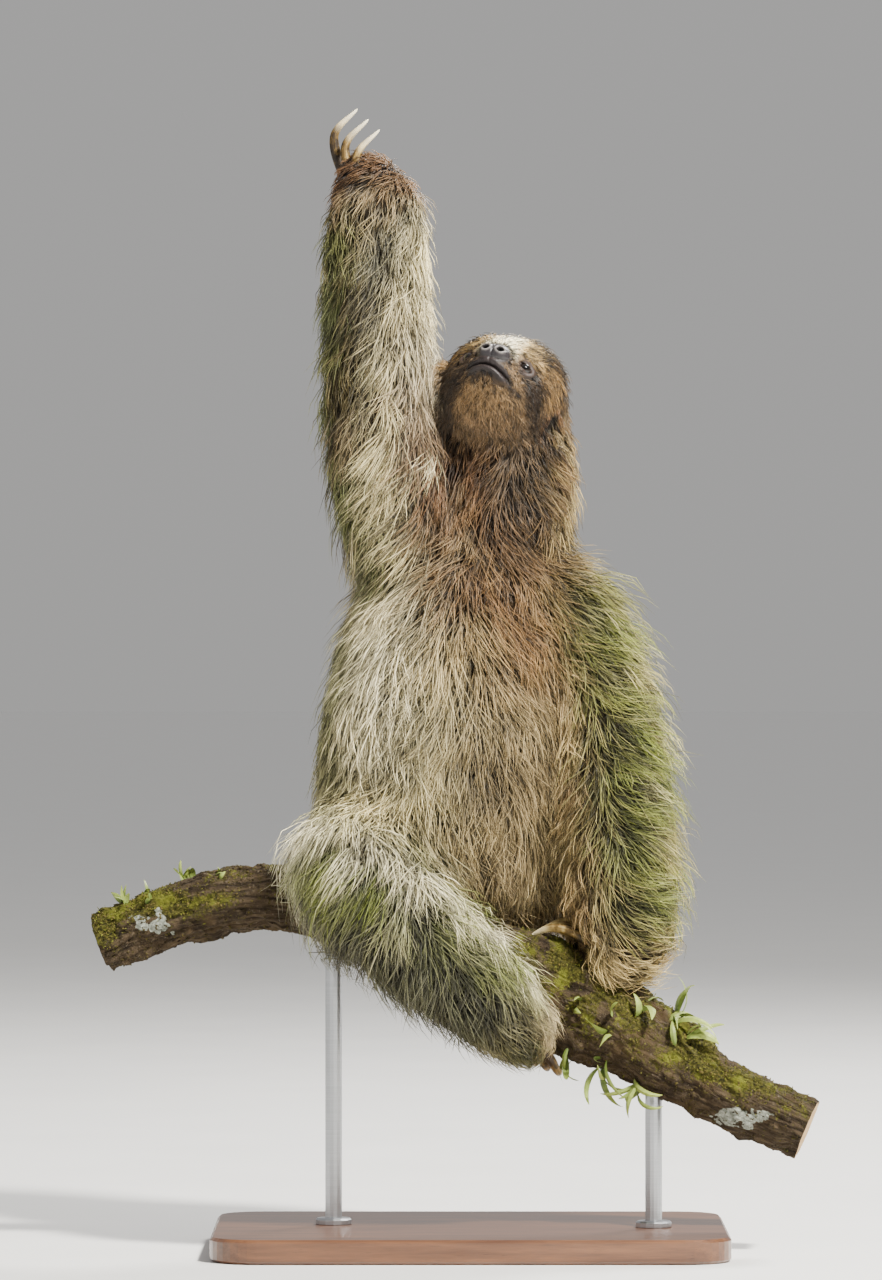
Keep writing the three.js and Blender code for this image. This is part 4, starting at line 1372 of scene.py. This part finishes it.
def claw(limb, index, material):
    """One claw: an oval section carried from inside the paw along its bend to the tip.

    It narrows by the square of the way along, closes roundly at both ends, and is fluted by sines of
    the angle, with a fine groove down each side.
    """
    root, bend, tip, step = (np.array(place, float) for place in CLAWS[limb])
    root, bend, tip = (place + (index - 2) * step for place in (root, bend, tip))
    root += ROOTED.get(limb, 0)
    paw = np.array(LIMBS[PAWS[limb]][-2][:3], float)
    inside = root + INSIDE["back"] * (root - bend) + INSIDE["paw"] * (paw - root)
    rows, columns = 44, 22
    line = smooth_line((inside, root, bend, tip), rows)
    sides, ups = tube_sides(line, np.cross(root - bend, tip - bend))
    turn = turns(columns)
    share = np.linspace(0, 1, rows)[:, None]
    near_root, near_tip = 1 - rise(share, 0, .06), rise(share, .96, 1)
    closed = np.sqrt(np.clip(1 - near_root**2, 0, 1)) * np.sqrt(np.clip(1 - near_tip**2, 0, 1))
    closed *= 1 - CLAW["taper"] * share**2
    groove = 1 - .10 * bell(np.abs(np.sin(turn)), 0, .25) * np.ones_like(share)
    flutes = 1 + .02 * np.sin(9 * turn + 4 * share) + .012 * np.sin(14 * turn - 3 * share)
    wide = CLAW["wide"] * closed * groove * flutes
    deep = CLAW["deep"] * closed * groove * flutes
    across = (wide * np.cos(turn))[..., None] * sides[:, None]
    points = line[:, None] + across + (deep * np.sin(turn))[..., None] * ups[:, None]
    name = f"claw_{limb}_{index}"
    mesh = mesh_from(f"{name}_horn", points.reshape(-1, 3), grid_faces(rows, columns))
    give(mesh, "Along", "FLOAT", np.repeat(share[:, 0], columns))
    give(mesh, "Stain", "FLOAT", np.full(rows * columns, STAIN.get(limb, 0)))
    give(mesh, "Grain", "FLOAT_VECTOR", stacked(np.cos(turn) * .01, np.sin(turn) * .01, share * .06))
    return piece(f"{name}_horn", tidy(mesh), material, "claw", name)


# ---------------------------------------------------------------- the perch
BRANCH = (
    (-303, 42, 249, 25), (-262, 36, 267, 27), (-205, 28, 284, 29), (-140, 18, 286, 29), (-60, 6, 260, 33),
    (20, -4, 226, 37), (75, -10, 205, 39), (120, -15, 183, 38), (165, -20, 156, 34), (205, -25, 132, 29),
    (275, -35, 102, 27),
)
CUSHION = {"at": (62, -12, 243), "half": (30, 26, 40), "high": 9}  # a swelling under the left hand's claws
MEAN_RADIUS = 34
GRAIN_RADIUS, GRAIN_LONG = 30, 192  # the bar on which the bark's furrows are read, short to draw them out
CAP_RINGS = 12  # rings of points on each sawn end
LICHEN = (((-262, -3, 268), (18, 22, 9)), ((222, -50, 112), (26, 12, 8)))  # two spots, and half their sizes
BARK = {"worn": 1.4, "furrows": 3.4, "pits": 5.6}  # how much is taken off it, and how rough it is
# The number of shoots, of which those on bare bark are dropped, and each one's size by chance.
MOSS = {"tried": 16_000, "long": (1.6, 4.2), "wide": (.8, 1.6), "curl": (.3, 1.6)}
CRUMB = {"count": 8_000, "size": (.5, 1.8), "uneven": (.3, 1.5)}
# share of the branch's length, angle round it (a quarter turn is up, half a turn the front), number of
# leaves, length, width, and the angle that they curl through
LEAVES = {
    "perch_leaves": (
        (.07, 1.7, 5, 16, 5, 1.2), (.115, 2.0, 4, 14, 5, 1.0),
        (.16, 1.6, 7, 18, 5, 1.4), (.2, 2.1, 3, 12, 4, 1.2),
    ),
    "perch_ferns": (
        (.55, 2.9, 3, 28, 5, 2.2), (.6, 4.2, 5, 36, 5, 2.4), (.63, 3.0, 2, 30, 5, 1.4),
        (.65, 4.3, 5, 40, 5, 2.8), (.69, 3.1, 3, 30, 6, 2.2), (.71, 4.3, 6, 42, 5, 2.2),
        (.72, 2.4, 3, 38, 6, 1.8), (.77, 1.9, 7, 46, 6.5, 2.2), (.775, 4.2, 6, 44, 5, 2.4),
        (.8, 2.2, 4, 40, 6, 2.4),
    ),
}


def knots(t, angle):
    """The branch's radius as a share: a slow swirl, lumps and a fine ripple, by sines of place and angle."""
    return 1 + .05 * np.sin(9 * t + 2 * angle) + .035 * np.sin(23 * t - 3 * angle) + .02 * np.sin(41 * t)


def branch_surface(t, angle, lift=0.0):
    """Points on the branch's surface at shares of its length and angles round it, and the ways out there.

    The radius is the station's, times the knots, plus furrows that run along the branch, small pits
    and a cushion under the left hand; the furrows and pits come from noise.
    """
    rows = smooth_line(BRANCH, 400)
    sides, ups = tube_sides(rows[:, :3], (0, 1, 0))
    at = np.clip(t, 0, 1) * (len(rows) - 1)

    def pick(table):
        """A table's rows at the wanted shares of the length, column by column."""
        return np.stack([np.interp(at, np.arange(len(rows)), table[:, i]) for i in range(table.shape[1])], -1)

    line, sides, ups = pick(rows), pick(sides), pick(ups)
    out = np.cos(angle)[..., None] * sides + np.sin(angle)[..., None] * ups
    grain = np.stack((np.cos(angle) * GRAIN_RADIUS, np.sin(angle) * GRAIN_RADIUS, t * GRAIN_LONG), -1)
    furrow = 2 * np.abs(clouds(grain, 6, 21) - .5) + .5 * clouds(grain, 2.6, 22)
    near = line[..., :3] + MEAN_RADIUS * out
    pits = clouds(near, 13, 23) + .5 * clouds(near, 5, 28) + .3 * clouds(near, 2.4, 29) - .9
    mound = np.linalg.norm((near - CUSHION["at"]) / CUSHION["half"], axis=-1)
    radius = line[..., 3] * knots(t, angle) - BARK["worn"] + BARK["furrows"] * (furrow - .7)
    radius += BARK["pits"] * pits
    radius += CUSHION["high"] * bell(mound, 0, .8)
    return line[..., :3] + out * (radius + lift)[..., None], out, grain * MM


def moss_share(points, out):
    """Where moss grows: on top of the branch and down its front, in patches, thicker towards both ends."""
    top = rise(out[..., 2] + .9 * (clouds(points, 22, 24) - .5), -.25, .35)
    ends = rise(np.abs(points[..., 0] - 40), 60, 150)
    thick = .45 * patches(points, 16, 25, .35, .6) + ends * patches(points, 30, 26, .25, .6)
    front = bell(points[..., 0], 95, 60) * rise(-out[..., 1], -.3, .4) * rise(out[..., 2], -.8, .2)
    return np.clip(top * thick * .9 + .7 * front * patches(points, 12, 42, .25, .6), 0, 1)


def perch(material):
    """The cut branch: its surface along its whole length, closed by flat sawn ends."""
    rows, columns = 430, 160
    t = np.linspace(0, 1, rows)[:, None] + np.zeros(columns)
    angle = np.zeros((rows, 1)) + turns(columns)
    points, out, grain = branch_surface(t, angle)
    middle = smooth_line(BRANCH, rows)[:, None, :3]
    sawn = []
    for row in (0, -1):
        shares = np.linspace(.97, 0, CAP_RINGS)[:, None, None]
        sawn.append(middle[row] + (points[row] - middle[row]) * shares)
    points = np.concatenate((sawn[0][::-1], points, sawn[1]))
    pad = ((CAP_RINGS, CAP_RINGS), (0, 0), (0, 0))
    out, grain = np.pad(out, pad, "edge"), np.pad(grain, pad, "edge")
    ends = np.zeros(points.shape[:2])
    for cap, rim in ((slice(0, CAP_RINGS), CAP_RINGS), (slice(-CAP_RINGS, None), -CAP_RINGS - 1)):
        grain[cap] = (points[cap] - points[rim].mean(0)) * MM
        ends[cap] = 1
    mesh = mesh_from("perch_branch", points.reshape(-1, 3), grid_faces(len(points), columns))
    give(mesh, "Moss", "FLOAT", (moss_share(points, out) * (1 - ends)).ravel())
    ragged = 1.4 * (clouds(points, 9, 27) - .5) + 1.1 * (clouds(points, 4, 36) - .5)
    spot = np.minimum(*(np.linalg.norm((points - at) / half, axis=-1) for at, half in LICHEN)) + ragged
    give(mesh, "Lichen", "FLOAT", ((1 - rise(spot, .7, 1)) * (1 - ends)).ravel())
    give(mesh, "Sawn", "FLOAT", ends.ravel())
    give(mesh, "Grain", "FLOAT_VECTOR", grain)
    return piece("perch_branch", tidy(mesh), material, "bark", "perch")


def blades(name, roots, ways, leans, lengths, widths, curls, rows, material, random, fold=.25):
    """Many small leaves: pointed ovals carried along arcs that start one way and bend towards another.

    The arc's angle is the curl, and the blade twists a little on the way. A blade is a closed thin
    shell of two sides, with its middle sunk by the fold.
    """
    share = np.linspace(0, 1, rows)
    ways = unit(ways)
    leans = unit(leans - ways * dot(leans, ways)[:, None])
    angle = curls[:, None] * share
    across, over = (part / curls[:, None] for part in (np.sin(angle), 1 - np.cos(angle)))
    arc = across[..., None] * ways[:, None] + over[..., None] * leans[:, None]
    line = roots[:, None] + lengths[:, None, None] * arc
    tangents = unit(np.gradient(line, axis=1))
    flat = np.cross(ways, leans)[:, None] + np.zeros_like(line)
    twist = random.normal(0, .7, len(roots))[:, None] * share
    sides = unit(flat * np.cos(twist)[..., None] + np.cross(tangents, flat) * np.sin(twist)[..., None])
    normals = np.cross(sides, tangents)
    half = np.sin(math.pi * (share**.75 * .95 + .03)) ** .8 * widths[:, None] / 2
    corners = ((-1, 0), (0, -fold), (1, 0), (0, -fold - .08))
    points = np.stack([
        line + sides * (half * a)[..., None] + normals * (half * b)[..., None] for a, b in corners
    ], 2)
    number = len(roots)
    faces = grid_faces(rows, 4)
    caps = np.array(((3, 2, 1, 0), (4 * rows - 4, 4 * rows - 3, 4 * rows - 2, 4 * rows - 1)))
    faces = np.vstack((faces, caps))
    faces = (faces + 4 * rows * np.arange(number)[:, None, None]).reshape(-1, 4)
    mesh = mesh_from(name, points.reshape(-1, 3), faces)
    give(mesh, "Along", "FLOAT", np.tile(np.repeat(share, 4), number))
    give(mesh, "Tone", "FLOAT", np.repeat(random.random(number), 4 * rows))
    tidy(mesh).shade_flat()
    return piece(name, mesh, material, "bark")


def moss(material, random):
    """Shoots of moss, thickest where the bark is painted with moss."""
    tried = MOSS["tried"]
    t, angle = random.uniform(.01, .99, tried), random.uniform(0, 2 * math.pi, tried)
    points, out, _ = branch_surface(t, angle, -.8)
    kept = random.random(tried) < .8 * moss_share(points, out)
    points, out = points[kept], out[kept]
    number = len(points)
    ways = out + random.normal(0, .45, (number, 3))
    leans = random.normal(0, 1, (number, 3))
    lengths, widths, curls = (random.uniform(*MOSS[size], number) for size in ("long", "wide", "curl"))
    return blades("perch_moss", points, ways, leans, lengths, widths, curls, 3, material, random)


def crumbs(material, random):
    """Crumbs of bark and moss all over the branch: eight-sided lumps, turned and sized by chance."""
    count = CRUMB["count"]
    t, angle = random.uniform(.005, .995, count), random.uniform(0, 2 * math.pi, count)
    points, out, _ = branch_surface(t, angle, -.4)
    corners = np.array(((1, 0, 0), (-1, 0, 0), (0, 1, 0), (0, -1, 0), (0, 0, .8), (0, 0, -.8)), float)
    faces = np.array([
        (a, b, c) if (a + b + c) % 2 else (a, c, b) for a in (0, 1) for b in (2, 3) for c in (4, 5)
    ])
    turned = np.linalg.qr(random.normal(0, 1, (count, 3, 3)))[0]
    size = random.uniform(*CRUMB["size"], (count, 1, 1)) * random.uniform(*CRUMB["uneven"], (count, 6, 1))
    places = points[:, None] + (corners * size) @ turned
    faces = faces + 6 * np.arange(count)[:, None, None]
    mesh = mesh_from("perch_crumbs", places.reshape(-1, 3), faces.reshape(-1, 3))
    green = np.clip(moss_share(points, out) * 1.3 + random.normal(0, .12, count), 0, 1)
    give(mesh, "Along", "FLOAT", np.repeat(green, 6))
    give(mesh, "Tone", "FLOAT", np.repeat(random.random(count), 6))
    return piece("perch_crumbs", tidy(mesh), material, "bark")


def leaves(material, random):
    """Strap-shaped leaves in tufts, each growing from one spot of the branch and curling its own way."""
    for name, tufts in LEAVES.items():
        made = []
        for place, angle, number, long, wide, curl in tufts:
            t = place + random.normal(0, .004, number)
            spots, out, _ = branch_surface(t, angle + random.normal(0, .25, number), -1.0)
            lengths = random.uniform(.5, 1.1, number) * long
            widths = random.uniform(.6, 1.4, number) * wide
            made.append((spots, out, lengths, widths, random.uniform(.4, 1.2, number) * curl))
        points, out, lengths, widths, curls = (np.concatenate(part) for part in zip(*made))
        ways = out + random.normal(0, .4, (len(points), 3)) + (0, 0, .15)
        leans = random.normal(0, .7, (len(points), 3)) + (.3, 0, -.7)
        blades(name, points, ways, leans, lengths, widths, curls, 12, material, random)


# ---------------------------------------------------------------- floor, light and camera
FLOOR_RADIUS = 45_000
HORIZON = (.407, .402, .396)
OVERHEAD = (.52, .52, .53)
LIGHT_AIM = (0, 0, .5)
# name, place in metres, size in metres, watts, tint
LIGHTS = (
    ("key", (1.5, -1.9, 2.9), .4, 430, (1, .97, .90)),
    ("fill", (-2.6, -2.4, 1.2), 2.2, 8, (.94, .97, 1)),
    ("rim", (1.4, 2.2, 2.6), .8, 170, (1, .98, .95)),
)
SENSOR = 36  # millimetres
CAMERA_AWAY = 6.0
CAMERA_PLACE = (-.0238, -CAMERA_AWAY, .5)
VIEW_HEIGHT = 1.0496  # metres that the picture shows from top to bottom at the object


def studio():
    """A wide round floor, big soft lights above and beside the animal, and a pale world."""
    rows, columns = 30, 96
    radius = FLOOR_RADIUS * np.linspace(0, 1, rows)[:, None] ** 2.2
    turn = turns(columns)
    points = stacked(radius * np.cos(turn), radius * np.sin(turn), 0)
    mesh = tidy(mesh_from("floor", points.reshape(-1, 3), grid_faces(rows, columns)))
    if mesh.polygons[0].normal.z < 0:
        mesh.flip_normals()
    mesh.materials.append(floor_finish())
    floor = placed("floor", mesh)

    for name, place, size, power, tint in LIGHTS:
        lamp = bpy.data.lights.new(name, "AREA")
        lamp.shape, lamp.size, lamp.energy, lamp.color = "DISK", size, power, tint
        holder = placed(name, lamp)
        holder.visible_camera = False
        holder.location = place
        aim = np.array(LIGHT_AIM) - place
        holder.rotation_mode = "QUATERNION"
        holder.rotation_quaternion = Vector(aim).to_track_quat("-Z", "Y")

    world = bpy.data.worlds.new("studio_world")
    world.use_nodes = True
    tree = world.node_tree
    height = add(tree, "SeparateXYZ", {0: add(tree, "TexCoord")}, out=2)
    sky = mixed(tree, spread(tree, height, 0, 1), np.array(HORIZON), np.array(OVERHEAD))
    tree.links.new(sky, tree.nodes["Background"].inputs["Color"])
    bpy.context.scene.world = world


def camera():
    """The camera: six metres in front, level, at about half the model's height, with a long lens."""
    lens = bpy.data.cameras.new("camera")
    lens.sensor_fit, lens.sensor_width = "AUTO", SENSOR
    lens.lens = SENSOR * CAMERA_AWAY / VIEW_HEIGHT
    lens.clip_start, lens.clip_end = .1, 200
    lens.dof.use_dof = False
    holder = placed("camera", lens)
    holder.location = CAMERA_PLACE
    holder.rotation_euler = (math.pi / 2, 0, 0)
    bpy.context.scene.camera = holder


# ---------------------------------------------------------------- the making
camera()
studio()

skin_mesh = whole_skin()
skin = piece("sloth_skin", skin_mesh, skin_finish(), "fur", *FLESH)
unwrap(skin)
field = skin_fields(skin.data)
give(skin.data, "Marking", "FLOAT_COLOR", field["colours"])
give(skin.data, "Bare", "FLOAT", field["bare"])
loops = numbers(skin.data.loop_triangles, "loops", 3, np.int32)
skin_uv = numbers(skin.data.uv_layers["OFBake"].uv, "vector", 2)[loops]

random = np.random.default_rng(SEED)
hair = fur_finish()
furred = (1 - field["bare"]) * rise(from_ear(in_head(field["points"])), .85, 1.1)
furred *= 1 + 1.5 * field["loose"]
crowded = np.clip(SPARSE_ABOVE / field["length"], 1, MOST_CROWDED)
on_body = (1 - rise(field["near_face"], .4, .9)) * furred
on_face = rise(field["near_face"], .05, .45) * furred
coat("under", field, skin_uv, on_body * crowded, hair, random)
coat("guard", field, skin_uv, on_body * crowded, hair, random)
coat("face", field, skin_uv, on_face, hair, random)

eyes = eye_finish()
for side in (-1, 1):
    eye(side, eyes)
nose_pad(nose_finish())
horn = claw_finish()
for limb in CLAWS:
    for index in (1, 2, 3):
        claw(limb, index, horn)

perch(bark_finish())
moss(plant_finish("perch_moss_green", colour(32, 32, 13), colour(120, 122, 44), .85), random)
crumbs(plant_finish("perch_crumb_brown", colour(34, 25, 17), colour(98, 88, 44), .9), random)
leaves(plant_finish("perch_leaf_green", colour(60, 82, 32), colour(164, 178, 90), .5), random)

walnut, steel = stand_wood_finish(), stand_steel_finish()
for node, material in (("stand_base", walnut), ("stand_rod_left", steel), ("stand_rod_right", steel)):
    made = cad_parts[node].data
    made.materials.clear()
    made.materials.append(material)
